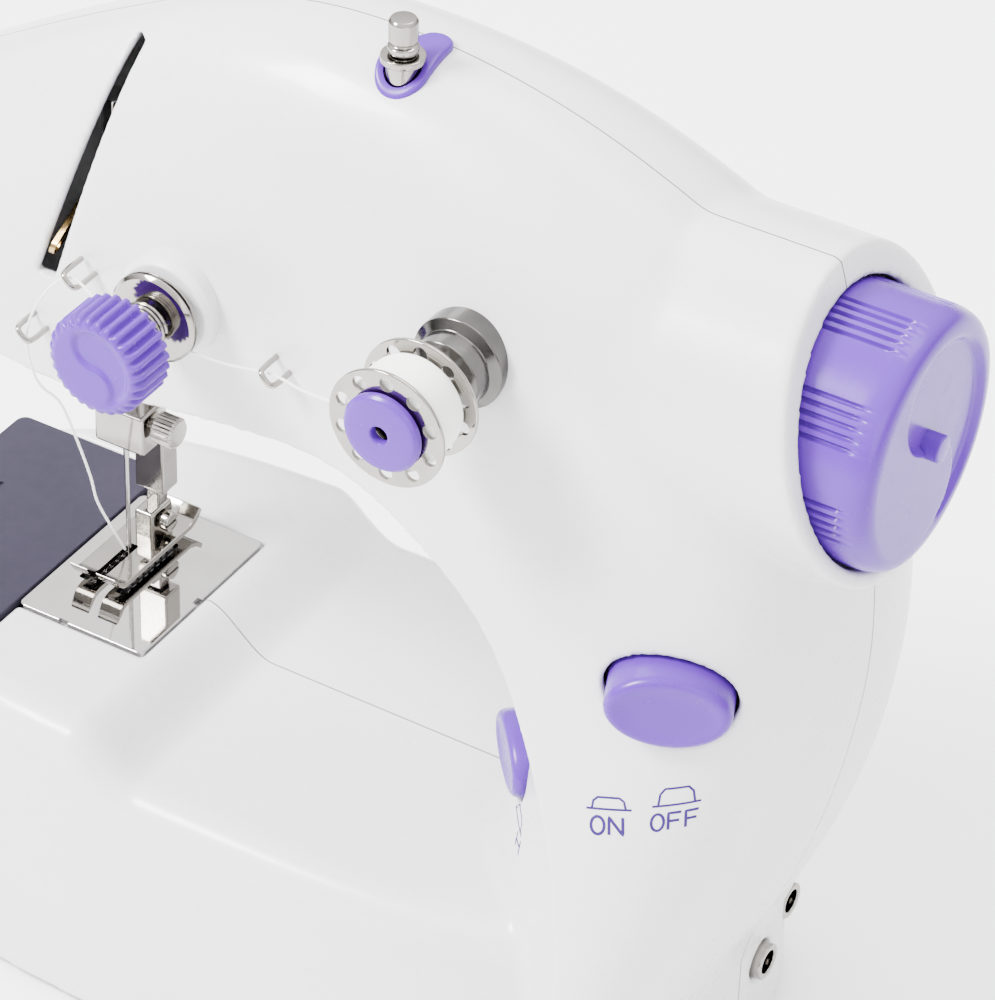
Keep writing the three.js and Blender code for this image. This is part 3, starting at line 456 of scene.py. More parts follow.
# ---------- housing ----------
# Stations of the swept head, arm and tower: outer seam (x, z), inner edge (x, z), half depth, swell.
STATIONS = np.array(
    [
        [-46.5, 85, -43.5, 65, 14, 1.5],
        [-38, 94.5, -32, 59, 18.5, 2.5],
        [-22, 104.5, -16, 56, 21.5, 3],
        [0, 116.5, 0, 55.5, 23, 3],
        [20, 125.7, 20, 59.5, 24.5, 3],
        [40, 130.3, 38, 63, 26, 3],
        [60, 130.4, 54, 64.5, 27, 3],
        [80, 127, 66, 63, 29, 3.5],
        [98, 121, 76, 59, 30.8, 4],
        [115, 112.5, 84, 54, 32, 5],
        [129.5, 100, 90, 48.5, 33, 6],
        [138, 83, 95, 41.5, 34, 8],
        [141.5, 64, 99, 34.5, 35.5, 11],
        [142.5, 45, 103, 26.5, 37.3, 15],
        [140.5, 26, 107, 17, 39.4, 21],
        [136.5, 7, 110.5, 3, 41.7, 29],
        [130.8, -11, 112.3, -14, 43.2, 36],
        [123.5, -29, 113, -30, 43.2, 36],
    ]
)
ROUNDNESS = 2.7


def centripetal(points, t):
    """A point of the centripetal Catmull-Rom curve through points, t from 0 to 1."""
    count = len(points)
    place_on = (count - 1) * t
    i = min(int(place_on), count - 2)
    w = place_on - i
    p1, p2 = points[i], points[i + 1]
    p0 = points[i - 1] if i > 0 else 2 * p1 - p2
    p3 = points[i + 2] if i + 2 < count else 2 * p2 - p1
    d0, d1, d2 = (max(np.linalg.norm(b - a), 1e-4) ** 0.5 for a, b in ((p0, p1), (p1, p2), (p2, p3)))
    t1 = ((p1 - p0) / d0 - (p2 - p0) / (d0 + d1) + (p2 - p1) / d1) * d1
    t2 = ((p2 - p1) / d1 - (p3 - p1) / (d1 + d2) + (p3 - p2) / d2) * d1
    c2 = -3 * p1 + 3 * p2 - 2 * t1 - t2
    c3 = 2 * p1 - 2 * p2 + t1 + t2
    return p1 + t1 * w + c2 * w * w + c3 * w**3


def swept_mesh(rows=150, cols=128, cap=10):
    """The swept form as points and quads, closed at both ends."""
    outer_line = STATIONS[:, [0, 4, 1]]
    inner_line = STATIONS[:, [2, 5, 3]]
    v = np.arange(cols) / cols
    front = v < 0.5
    turn = np.where(front, v, 1 - v) * 2
    angle = np.minimum(turn, 0.5) * math.pi
    bulge = 2 / ROUNDNESS
    depth = np.where(turn < 0.5, np.sin(angle) ** bulge, 2 - turn * 2)
    rise = np.where(turn < 0.5, np.cos(angle).clip(0) ** bulge, 0)
    points = []
    middle = np.array([-45.0, 0, 75])
    for step in range(rows + cap + 1):
        u = min(max((step - cap) / rows, 0), 1)
        outer, inner = centripetal(outer_line, u), centripetal(inner_line, u)
        top = np.array([outer[0], outer[2]])
        edge = np.array([inner[0], inner[2]])
        inward = (edge - top) / np.linalg.norm(edge - top)
        swell = np.where(turn < 0.5, 0, inner[1] * (1 - depth**2))
        xz = edge + (top - edge) * rise[:, None] + inward * swell[:, None]
        ring = np.stack([xz[:, 0], np.where(front, -1, 1) * outer[1] * depth, xz[:, 1]], 1)
        if step < cap:
            roll = (cap - step) / cap * (math.pi / 2)
            ring = ring + (middle - ring) * (1 - math.cos(roll))
            ring[:, 0] -= 5 * math.sin(roll)
        points.append(ring)
    total = len(points)
    points = np.concatenate(points)
    quads = []
    for i in range(total - 1):
        for k in range(cols):
            m = (k + 1) % cols
            quads.append((i * cols + k, i * cols + m, (i + 1) * cols + m, (i + 1) * cols + k))
    points = np.vstack([points, [[-50, 0, 75], [112, 0, -25]]])
    triangles = []
    for k in range(cols):
        m = (k + 1) % cols
        triangles.append((len(points) - 2, m, k))
        last = (total - 1) * cols
        triangles.append((len(points) - 1, last + k, last + m))
    return points, np.array(triangles), np.array(quads)


class Field:
    """Signed distances on a grid over the whole housing, in millimetres."""

    low = np.array([-54.0, -53.0, -60.0])
    high = np.array([153.0, 53.0, 136.0])

    def __init__(self, step):
        self.step = step
        self.first = np.floor(self.low / step).astype(int)
        self.size = (np.ceil(self.high / step).astype(int) - self.first).astype(int)
        axes = [((self.first[a] + np.arange(self.size[a])) * step).astype(np.float32) for a in range(3)]
        self.x = axes[0][:, None, None]
        self.y = axes[1][None, :, None]
        self.z = axes[2][None, None, :]
        self.transform = openvdb.createLinearTransform(voxelSize=step)

    def of_mesh(self, points, triangles, quads, band=9):
        grid = openvdb.FloatGrid.createLevelSetFromPolygons(
            points.astype(np.float32),
            triangles=triangles.astype(np.uint32),
            quads=quads.astype(np.uint32),
            transform=self.transform,
            halfWidth=float(band),
        )
        out = np.empty(tuple(self.size), np.float32)
        grid.copyToArray(out, ijk=tuple(int(v) for v in self.first))
        return out

    def surface(self, distances):
        """The zero surface as points in millimetres and quads."""
        edge = 3 * self.step
        grid = openvdb.FloatGrid(edge)
        grid.transform = self.transform
        clipped = np.clip(distances, -edge, edge).astype(np.float32)
        grid.copyFromArray(clipped, ijk=tuple(int(v) for v in self.first))
        points, quads = grid.convertToQuads(isovalue=0.0)
        return points, quads

    def box(self, low, high, rounding=0.0):
        parts = []
        for axis, grid in enumerate((self.x, self.y, self.z)):
            centre, half = (low[axis] + high[axis]) / 2, (high[axis] - low[axis]) / 2 - rounding
            parts.append(np.abs(grid - centre) - half)
        a, b, c = parts
        outside = np.sqrt(np.maximum(a, 0) ** 2 + np.maximum(b, 0) ** 2 + np.maximum(c, 0) ** 2)
        return outside + np.minimum(np.maximum(np.maximum(a, b), c), 0) - rounding

    def rod(self, axis, radius, across, low=-500, high=500):
        grids = (self.x, self.y, self.z)
        run, p, q = (grids[i] for i in AXES[axis])
        round_part = np.sqrt((p - across[0]) ** 2 + (q - across[1]) ** 2) - radius
        return np.maximum(round_part, np.maximum(low - run, run - high))

    def oval(self, width, height, push, at, reach):
        """An oval prism along a level push direction."""
        d = np.array(push, float) / np.linalg.norm(push)
        x, y, z = self.x - at[0], self.y - at[1], self.z - at[2]
        run = x * d[0] + y * d[1]
        side = -x * d[1] + y * d[0]
        a, b = width / 2, height / 2
        f = np.sqrt((side / a) ** 2 + (z / b) ** 2)
        slope = np.sqrt((side / a**2) ** 2 + (z / b**2) ** 2) / np.maximum(f, 1e-4)
        return np.maximum((f - 1) / np.maximum(slope, 1e-3), np.abs(run) - reach)


def soft_min(a, b, k):
    h = np.maximum(k - np.abs(a - b), 0) / k
    return np.minimum(a, b) - h * h * (k / 4)


def soft_max(a, b, k):
    return -soft_min(-a, -b, k)


POWER = {"at": (124.2, -33.1, 49.0), "push": (-0.4, 0.91), "size": (20.4, 13.9)}
SPEED = {"at": (87.6, -17, 10.8), "push": (0.75, 0.66), "size": (18.5, 12)}


def housing_field(f):
    """Distances to the hollow housing with all of its openings."""
    swept = f.of_mesh(*swept_mesh())
    # base: a flared super-ellipse plan under the stepped floor
    drop = np.clip(f.z / BASE_BOTTOM, 0, 1.1)
    half = 44.3 + 5.7 * drop**2
    px, py = (f.x - 37) / 87, f.y / half
    ring = (np.abs(px) ** 3 + np.abs(py) ** 3 + 1e-9) ** (1 / 3)
    slope = np.sqrt((px**2 / ring**2 / 87) ** 2 + (py**2 / ring**2 / half) ** 2)
    side = (ring - 1) / np.maximum(slope, 1 / 130)
    step = np.clip((f.x - BED_EDGE_X) / BED_FALL, 0, 1)
    floor = FLOOR_Z * step * step * (3 - 2 * step)
    tilt = np.abs(FLOOR_Z) * 6 * step * (1 - step) / BED_FALL
    above = (f.z - floor) / np.sqrt(1 + tilt**2)
    base = soft_max(side, above, 7)
    # cowl with its leaning rim
    barrel = f.rod("x", COWL_R, COWL, 100)
    rim = (f.x - 133 - (111 - f.z) * 0.29) / math.hypot(1, 0.29)
    cowl = soft_max(barrel, rim, 1.2)
    body = soft_min(soft_min(base, swept, 2.5), cowl, 0.9)
    shell = np.maximum(body, -(body + WALL))
    openings = [
        f.box([-13.6, -19.35, -1.5], [13.6, 19.35, 6], 0.4),
        f.box([-10.5, -14, -20], [10.5, 14, 5]),
        f.box([-62, -27.3, -2.1], [-13, 27.3, 6]),
        f.box([-36, -16, -20], [-12, 16, 5]),
        f.box([-9.5, -3.6, 40], [3.5, 16, 62], 1.5),
        f.rod("y", 3.2, TENSION, -40, -10),
        f.rod("y", 3.2, BOBBIN, -45, -20),
        f.rod("z", 3.1, SPOOL, 118, 150),
        f.rod("x", 3.7, (8, JACK_Z), 110, 150),
        f.rod("x", 3.7, (24, JACK_Z), 105, 150),
        f.rod("y", 2.4, (PRESSER[0], LIFTER_Z), 10, 40),
        f.rod("x", WHEEL_BORE_R, (0, SHAFT_Z), 128, 170),
    ]
    for key, reach in ((POWER, 12), (SPEED, 11)):
        w, h = key["size"]
        openings.append(f.oval(w + 1.3, h + 1.3, key["push"], key["at"], reach))
    plane = (f.x + 29.6 + 0.16 * f.y - 0.32 * f.z) / 1.062
    width = 0.95 + 0.75 * np.clip((119 - f.z) / 43, 0, 1)
    slit = np.maximum(np.abs(plane) - width, np.maximum(f.y + 4, np.abs(f.z - 97.5) - 21.5))
    openings.append(slit)
    for opening in openings:
        shell = soft_max(shell, -opening, 0.7)
    return soft_max(shell, BASE_BOTTOM - f.z, 0.8)


def split_half(name, points, quads, front):
    """One half of the housing, cut at the parting plane."""
    mesh = bpy.data.meshes.new(name)
    mesh.vertices.add(len(points))
    mesh.vertices.foreach_set("co", metres(points).astype(np.float32).ravel())
    mesh.loops.add(len(quads) * 4)
    mesh.loops.foreach_set("vertex_index", quads.astype(np.int32).ravel())
    mesh.polygons.add(len(quads))
    mesh.polygons.foreach_set("loop_start", np.arange(0, len(quads) * 4, 4, dtype=np.int32))
    mesh.update(calc_edges=True)
    work = bmesh.new()
    work.from_mesh(mesh)
    sign = -1 if front else 1
    at = metres([[0, 0.11 * sign, 0]])[0]
    bmesh.ops.bisect_plane(
        work,
        geom=work.verts[:] + work.edges[:] + work.faces[:],
        dist=1e-7,
        plane_co=at,
        plane_no=(0, sign, 0),
        clear_inner=True,
    )
    bmesh.ops.recalc_face_normals(work, faces=work.faces)
    work.to_mesh(mesh)
    work.free()
    mesh.polygons.foreach_set("use_smooth", [True] * len(mesh.polygons))
    return new_object(name, mesh)


def housing():
    """Both halves of the moulded housing; the front one carries the printed marks."""
    f = Field(VOXEL)
    points, quads = f.surface(housing_field(f))
    front = split_half("front_housing", points, quads, True)
    rear = split_half("rear_housing", points, quads, False)
    place(front, "housing", WHITE, "front_shell", slot="white_plastic")
    place(rear, "housing", WHITE, "rear_shell", slot="white_plastic")
    return front


# ---------- drive side ----------
def s_relief(radius, face, drop, outward):
    """Heights of a round face whose one half sits lower, along an S-shaped edge."""

    def level(u, v, h):
        if abs(h - face) > 0.02:
            return h
        upper = math.hypot(u, v - radius / 2) - radius / 2
        lower = math.hypot(u, v + radius / 2) - radius / 2
        d = max(min(u, lower), -upper)
        k = min(max(0.5 + d / 1.1, 0), 1)
        rim = min(max((radius - math.hypot(u, v)) / 0.9, 0), 1)
        return h - outward * drop * k * k * (3 - 2 * k) * rim

    return level


def handwheel():
    """The wheel, with groups of grooves round its rim, a two-level face and a stub in the middle."""
    radius, left, face = 21.7, 131, 149.4
    groups, share, ribs, depth = 8, 0.5, 5, 0.85
    profile = [(0, left), (20.6, left), (21.3, left + 0.5), (radius, left + 1.2)]
    profile += [(radius, h) for h in np.arange(133, 144.5, 1)]
    profile += [(radius, 145), (21.6, 146.3), (21.3, 147.4), (20.9, 148.3), (20.2, 149), (19.3, 149.3)]
    profile += [(r, face) for r in np.arange(18.5, -0.1, -0.5)]

    def ripple(angle, r, h):
        if r < 20.5 or h < left + 0.4:
            return r
        t = (angle * groups / (2 * math.pi)) % 1
        groove = 0.0
        if t < share:
            groove = max(0, -math.cos(2 * math.pi * ribs * t / share)) ** 0.6
        return r - depth * groove * min(max((145.4 - h) / 1.4, 0), 1)

    relief = s_relief(17.6, face, 1.1, 1)
    rim = lathed("wheel_rim", "x", profile, (0, SHAFT_Z), 720, 0, 60, ripple, relief)
    stub = rod("wheel_stub", "x", 2.3, face - 2, 151.4, (0, SHAFT_Z), 64, 0.35)
    wheel = joined("wheel", [rim, stub])
    place(wheel, "main_drive", PURPLE, "handwheel", slot="purple_plastic")


def tension_group():
    """Knob, spring and discs on their stem, in front of the white collar."""
    face, back, ribs = -48, -39, 28
    profile = [(r, face) for r in np.arange(0, 7.3, 0.35)]
    profile += [(7.6, face + 0.06), (8.3, face + 0.35), (8.8, face + 0.9), (9.1, face + 1.7)]
    profile += [(9.1, h) for h in np.arange(-45.5, -39.9, 0.8)]
    profile += [(9.1, back - 0.5), (8.7, back - 0.1), (8.2, back), (2.3, back), (2.3, -45), (0, -45)]

    def ripple(angle, r, h):
        if r < 7.8:
            return r
        groove = (0.5 + 0.5 * math.cos(ribs * angle)) ** 1.6
        return r - 1.0 * groove * min((r - 7.8) / 1.1, 1)

    relief = s_relief(7.0, face, 0.6, -1)
    knob = lathed("knob", "y", profile, TENSION, ribs * 12, 0, 60, ripple, relief)
    place(knob, "tension_dial", PURPLE, "tension_knob", slot="purple_plastic")
    collar = [(2.4, -20), (9, -20), (9, -27.2), (8.2, -28.4), (2.4, -28.4)]
    boss = lathed("collar", "y", collar, TENSION, SIDES, 0.6)
    place(boss, "housing", WHITE, "tension_boss", slot="white_plastic")
    disc = [(2.3, 0.7), (5.4, 0.7), (5.8, 0.9), (6.2, 0.7), (7.2, 0.65), (8, 0.2), (8, 0.5), (7.4, 1.05)]
    disc += [(6, 1.4), (2.3, 1.5)]
    for side, sign in (("rear", 1), ("front", -1)):
        rim = [(r, PINCH_Y + sign * h) for r, h in disc]
        turned = lathed(f"disc_{side}", "y", rim, TENSION, SIDES, 0.12)
        place(turned, "housing", NICKEL, f"tension_disc_{side}", slot="nickel")
    turns, steps = 5, 28
    coil = []
    for i in range(turns * steps + 1):
        angle = 2 * math.pi * i / steps
        y = -33.2 - 4.6 * i / (turns * steps)
        coil.append((TENSION[0] + 3.9 * math.cos(angle), y, TENSION[1] + 3.9 * math.sin(angle)))
    place(tube("coil", coil, 0.4, 10), "housing", NICKEL, "tension_spring", slot="nickel")
    stem = rod("stem", "y", 2, -44.5, -17, TENSION)
    place(stem, "housing", STEEL, "tension_stem", slot="steel")


def winder_group():
    """The stepped post with the wound bobbin and its cap."""
    front, back = -49.9, -39.7
    post = [(0, -22), (8, -22), (8, -29.5), (6.4, -30.5), (6.4, -34), (3, -36.5), (3, -39.3)]
    post += [(1.6, -39.3), (1.6, -48.9), (0, -48.9)]
    stand = lathed("post", "y", post, BOBBIN, SIDES, 0.3)
    place(stand, "housing", DARK_NICKEL, "winder_post", slot="nickel")
    rim = [(2, front), (10.25, front), (10.25, front + 0.7), (3.2, front + 0.7)]
    rim += [(3.2, back - 0.7), (10.25, back - 0.7), (10.25, back), (2, back)]
    reel = lathed("reel", "y", rim, BOBBIN, SIDES, 0.22)
    holes = []
    for i in range(10):
        a = (i + 0.5) / 10 * 2 * math.pi
        at = (BOBBIN[0] + 8.15 * math.cos(a), BOBBIN[1] + 8.15 * math.sin(a))
        holes.append(rod(f"hole_{i}", "y", 1.25, front - 1, back + 1, at, 28, 0))
    reel = carved(reel, [joined("holes", holes)])
    place(reel, "thread_bobbin", NICKEL, "bobbin", slot="nickel")
    wraps, fine = 22, 6
    winding = [(3.5, front + 1)]
    for i in range(wraps * fine + 1):
        s = i / (wraps * fine)
        ridge = abs(math.sin(math.pi * wraps * s)) * 0.16
        winding.append((8.4 - 0.5 * (2 * s - 1) ** 4 + ridge, front + 1 + 8.2 * s))
    winding.append((3.5, back - 1))
    wound = lathed("winding", "y", winding, BOBBIN, SIDES, 0, 80)
    place(wound, "thread_bobbin", THREAD, "bobbin_thread", slot="thread")
    cap = [(1.5, front - 0.3), (6.75, front - 0.3), (6.75, front - 1.3), (6.2, front - 1.9)]
    cap += [(5.2, front - 2.1), (1.5, front - 2.1)]
    button = lathed("cap", "y", cap, BOBBIN, SIDES, 0.4)
    place(button, "thread_bobbin", PURPLE, "bobbin_cap", slot="purple_plastic")


def spool_group():
    """The telescopic spool pin and its sleeve."""
    top = 138.8
    sleeve = [(2.1, 117), (2.8, 117), (2.8, 131.2), (3.6, 131.2), (3.6, 132.4), (2.1, 132.4)]
    bush = lathed("sleeve", "z", sleeve, SPOOL, 48, 0.2)
    place(bush, "housing", NICKEL, "spool_sleeve", slot="nickel")
    pin = [(0, 98.8), (1.8, 98.8), (1.8, 132.9), (2.5, 132.9), (2.5, 134), (1.7, 134.4), (2.4, 135)]
    pin += [(2.4, top - 0.5), (2, top), (0, top)]
    place(lathed("pin", "z", pin, SPOOL, 48, 0.25), "spool_rod", NICKEL, "spool_pin", slot="nickel")


def spool_collar():
    """A drop-shaped tab that follows the top of the arm, with the pin's hole through it."""
    x0, y0 = SPOOL
    wide, narrow, reach = 4.4, 2.6, (1.4, 7.6)

    def edge(angle):
        d = np.array([math.cos(angle), math.sin(angle)])
        best = wide
        for t in np.linspace(0, 1, 40):
            c = np.array(reach) * t
            r = wide + (narrow - wide) * t
            inside = r * r - (c @ c - (d @ c) ** 2)
            if inside > 0:
                best = max(best, d @ c + math.sqrt(inside))
        return best

    def skin(x, y):
        return 130.4 - 0.00066 * abs(y) ** 3.43 - 0.07 * (x - 60.1)

    sides = 96
    rings = [(1, -0.8), (1, 0.45), (0.97, 0.8), (0.92, 1.0), (0.8, 1.1), (0.6, 1.1)]
    rings += [(0.3, 1.05), (0, 0.9), (0, -0.8)]
    points, faces = [], []
    for share, lift in rings:
        for i in range(sides):
            a = 2 * math.pi * i / sides
            r = 3.1 + (edge(a) - 3.1) * share
            x, y = x0 + r * math.cos(a), y0 + r * math.sin(a)
            points.append((x, y, skin(x, y) + lift))
    for k in range(len(rings)):
        m = (k + 1) % len(rings)
        for i in range(sides):
            j = (i + 1) % sides
            faces.append((k * sides + i, k * sides + j, m * sides + j, m * sides + i))
    tab = made("spool_collar", points, faces, sharp_deg=60)
    place(tab, "housing", PURPLE, "spool_tab", slot="purple_plastic")


def guides():
    """Three bent wire loops that lead the thread."""
    spots = ((8, -26.3, 82), (-2.6, -25.3, 66.8), (48, -28.7, 79.8))
    for i, (x, y, z) in enumerate(spots, 1):
        bend = [(-1.3, 3, 1), (-1.3, -1.2, 1), (-0.9, -2.5, 0.8), (0, -2.8, 0), (0.9, -2.5, -0.8)]
        bend += [(1.3, -1.2, -1), (1.3, 3, -1)]
        path = smooth_path([(x + a, y + b, z + c) for a, b, c in bend], 8)
        place(tube(f"guide_{i}", path, 0.5, 14), "housing", NICKEL, f"thread_guide_{i}", slot="nickel")


# ---------- needle side ----------
def needle_group():
    """Needle bar, clamp, thumb screw and needle."""
    x, y = NEEDLE
    shank = [(0, -0.6), (0.16, 0.5), (0.42, 2.6), (0.42, 22.5), (0.55, 23.3), (0.55, 28.2), (0, 28.2)]
    needle = lathed("needle_shank", "z", shank, NEEDLE, 32, 0)
    place(needle, "needle_unit", MIRROR, "needle", slot="steel")
    yoke = carved(
        block("yoke", (5.7, -12.5, 84), (8.3, 12.5, 89.6), 0),
        [block("yoke_slot", (6.5, -11.4, 85.2), (9, 11.4, 88.4), 0)],
    )
    arm = block("yoke_arm", (x, y - 2, 84), (6.4, y + 2, 89.6), 0.3)
    bar = joined("bar", [rod("bar_rod", "z", 2.5, 29, 98, NEEDLE, 64, 0.3), arm, yoke])
    place(bar, "needle_unit", MIRROR, "needle_bar", slot="steel")
    body = block("clamp_body", (-8, -2, 27.4), (2.4, 4.9, 35.5), 0.7, 3)
    sleeve = rod("clamp_well", "z", 2.7, 34.4, 40, NEEDLE, 48, 0)
    place(carved(body, [sleeve]), "needle_unit", NICKEL, "needle_clamp", slot="nickel")
    head = [(0, 0.8), (1, 0.8), (1, 3.4), (2.9, 3.4), (2.9, 7.1), (2.4, 7.6), (0, 7.6)]
    screw = lathed(
        "thumb_screw",
        "x",
        head,
        (y, CLAMP_SCREW_Z),
        192,
        0.15,
        ripple=lambda a, r, h: r - 0.22 * (0.5 + 0.5 * math.cos(24 * a)) if r > 2.6 else r,
    )
    place(screw, "needle_unit", NICKEL, "clamp_screw", slot="nickel")


def presser_group():
    """Presser bar, foot and ankle screw."""
    x, y = PRESSER
    parts = [
        rod("presser_rod", "z", 2, 11.5, 94, PRESSER, 48, 0.2),
        rod("presser_collar", "z", 4, 66, 68, PRESSER, 48, 0.3),
        block("presser_block", (x - 3.1, y - 2.3, 11.5), (x + 3.1, y + 2.3, 24), 0.45, 3),
    ]
    place(joined("presser_shaft", parts), "presser_unit", NICKEL, "presser_bar", slot="nickel")
    outline = [(-9.9, 5.1), (-9.5, 4.1), (-8.6, 2.6), (-7.6, 1.8), (-6.5, 1.5), (13.5, 1.5), (15.2, 2.2)]
    outline += [(17, 3.9), (16.3, 4.8), (14.6, 3.3), (13, 2.6), (-6.2, 2.6), (-7.4, 2.9), (-8.5, 3.9)]
    sole = extruded("sole", outline, x - 4.9, x + 5.3, "yz", 0.3, 3)
    sole = carved(sole, [block("toe_gap", (NEEDLE[0] - 1, -12, 0), (NEEDLE[0] + 1, 3.2, 8), 0.3)])
    ankle = block("ankle", (x - 2, 6, 2), (x + 2, 12.5, 8), 0.6, 3)
    shank = block("foot_shank", (x - 1.4, 9, 6), (x + 1.4, 12, 11.2), 0.4, 3)
    place(joined("foot", [sole, ankle, shank]), "presser_unit", NICKEL, "presser_foot", slot="nickel")
    thread_part = rod("screw_thread", "x", 1, -4.3, 0, FOOT_SCREW, 32)
    head = rod("screw_head", "x", 1.9, -1.4, 0.4, FOOT_SCREW, 48, 0.3)
    head = carved(head, [block("driver_slot", (-0.1, 6.5, 5.2), (1, 12, 5.8), 0)])
    screw = joined("ankle_screw", [thread_part, head])
    place(screw, "presser_unit", NICKEL, "foot_screw", slot="nickel")


def rounded_plan(left, right, front, back, radius, steps=5):
    """A rectangle with round corners, as (x, y) points."""
    points = []
    corners = ((right, back, 0), (left, back, 90), (left, front, 180), (right, front, 270))
    for x, y, start in corners:
        cx = x - radius if x == right else x + radius
        cy = y - radius if y == back else y + radius
        for i in range(steps + 1):
            a = math.radians(start + 90 * i / steps)
            points.append((cx + radius * math.cos(a), cy + radius * math.sin(a)))
    return points


def bed_plates():
    """The polished needle plate and the sliding cover beside it."""
    plate = extruded("plate", rounded_plan(-13.25, 13.25, -19, 19, 1.2), -1.2, 0, bevel=0.2, segments=3)
    cuts = []
    for i, left in enumerate((-8.7, -0.9)):
        slot = rounded_plan(left, left + 2, -7.2, 10.2, 0.5)
        cuts.append(extruded(f"feed_slot_{i}", slot, -5, 5, bevel=0))
    cuts.append(rod("needle_hole", "z", 1.1, -5, 5, NEEDLE, 40, 0))
    cuts.append(block("notch_right", (12.4, -2.4, -5), (15, -0.6, 5), 0))
    cuts.append(block("notch_front", (-4.5, -20, -5), (-2.5, -18.5, 5), 0))
    place(carved(plate, cuts), "housing", MIRROR, "needle_plate", slot="polished_steel")
    cover = extruded("bed_lid", rounded_plan(-46, -13.8, -27, 27, 2), -1.8, 0, bevel=0.35, segments=3)
    grips = []
    for i, left in enumerate((-42, -39.5, -37)):
        grips.append(block(f"grip_{i}", (left, -8, -0.5), (left + 0.9, 8, 1), 0.2))
    place(carved(cover, grips), "bed_cover", SMOKE, "slide_cover", slot="smoke_plastic")


def oval_button(name, key, front, back, sides=SIDES):
    """A domed oval key seen end on along its push direction, with a slightly dished face."""
    push = np.array([*key["push"], 0.0]) / math.hypot(*key["push"])
    across = np.array([-push[1], push[0], 0])
    a, b = key["size"][0] / 2, key["size"][1] / 2
    rings = [(0, back - front), (0, 1.6), (0.12, 0.95), (0.42, 0.42), (0.85, 0.1)]
    rings += [(1.35, 0), (1.9, 0.06), (2.6, 0.25), (3.6, 0.38), (5, 0.45)]
    points, faces = [], []
    for inset, down in rings:
        for i in range(sides):
            t = 2 * math.pi * i / sides
            side = across * (a - inset) * math.cos(t)
            rise = np.array([0, 0, (b - inset) * math.sin(t)])
            points.append(np.array(key["at"]) + push * (front + down) + side + rise)
    for k in range(len(rings) - 1):
        for i in range(sides):
            j = (i + 1) % sides
            faces.append((k * sides + i, k * sides + j, (k + 1) * sides + j, (k + 1) * sides + i))
    faces.append(tuple(range(sides)))
    faces.append(tuple(range((len(rings) - 1) * sides, len(rings) * sides)))
    return made(name, points, faces, sharp_deg=50)


def keys_and_jacks():
    """The two push buttons and the two sockets."""
    power, speed = oval_button("power_cap", POWER, -3, 6), oval_button("speed_cap", SPEED, -1.8, 5.5)
    place(power, "power_key", PURPLE, "power_button", slot="purple_plastic")
    place(speed, "speed_key", PURPLE, "speed_button", slot="purple_plastic")
    jacks = (("jack_front", "dc_jack", 125.3, 8), ("jack_rear", "pedal_jack", 121.2, 24))
    for name, node, face, y in jacks:
        tube_part = [(0, face - 12), (3.4, face - 12), (3.4, face), (2.2, face), (2.2, face - 8)]
        tube_part += [(0.6, face - 8), (0.6, face - 1.5), (0, face - 1.5)]
        place(lathed(name, "x", tube_part, (y, JACK_Z), 64, 0.25), "housing", NICKEL, node, slot="nickel")


ROUTE = [
    (73.4, -45, 93.6), (69, -44, 91.5), (58, -36, 84.5), (48.2, -29.6, 79.8), (40, -30.4, 79.1),
    (35, -30.7, 79.1), (26.3, -30.7, 79), (18, -30.6, 79.8), (8, -27.7, 82), (1.5, -27.3, 76),
    (-2.6, -26.7, 66.8), (-3, -25.2, 58.4), (-3.2, -22.6, 53), (-3.7, -17, 46), (-4.6, -12, 35.8),
    (-4.7, -8, 24.7), (-4.5, -6.4, 18), (-3.9, -3, 10), (-3.8, 0.3, 3.4),
]


def upper_thread():
    """Three-ply thread along its route."""
    path = smooth_path(ROUTE, 30)

    def ply(angle, distance):
        return 0.9 + 0.1 * math.cos(3 * angle - distance * 5)

    spun = tube("spun_thread", path, 0.26, 12, twist=ply)
    place(spun, "housing", THREAD, "upper_thread", slot="thread")


# ---------- printed marks ----------
def arc_points(cx, cy, rx, ry, steps=20):
    """A closed ellipse."""
    return [(cx + rx * math.cos(2 * math.pi * i / steps), cy + ry * math.sin(2 * math.pi * i / steps))
            for i in range(steps + 1)]


def letter_strokes(letter, x, w, h):
    """Strokes of one capital whose left foot is at (x, 0)."""
    shapes = {
        "O": [arc_points(x + w / 2, h / 2, w / 2, h / 2)],
        "N": [[(x, 0), (x, h), (x + w, 0), (x + w, h)]],
        "F": [[(x, 0), (x, h), (x + w, h)], [(x, h * 0.52), (x + w * 0.85, h * 0.52)]],
        "H": [[(x, 0), (x, h)], [(x + w, 0), (x + w, h)], [(x, h / 2), (x + w, h / 2)]],
        "L": [[(x, h), (x, 0), (x + w, 0)]],
    }
    return shapes[letter]


def word_strokes(word, width, height):
    """Strokes of a word, centred on its foot line."""
    step = width / len(word)
    strokes = []
    for i, letter in enumerate(word):
        strokes += letter_strokes(letter, -width / 2 + i * step + step * 0.1, step * 0.74, height)
    return strokes


def push_sign(rise):
    """The side view of a push button over its panel line."""
    cap = [(-3, 0), (-2.7, rise * 0.7), (-1.9, rise), (1.9, rise), (2.7, rise * 0.7), (3, 0)]
    return [[(-4, 0), (4, 0)], cap]


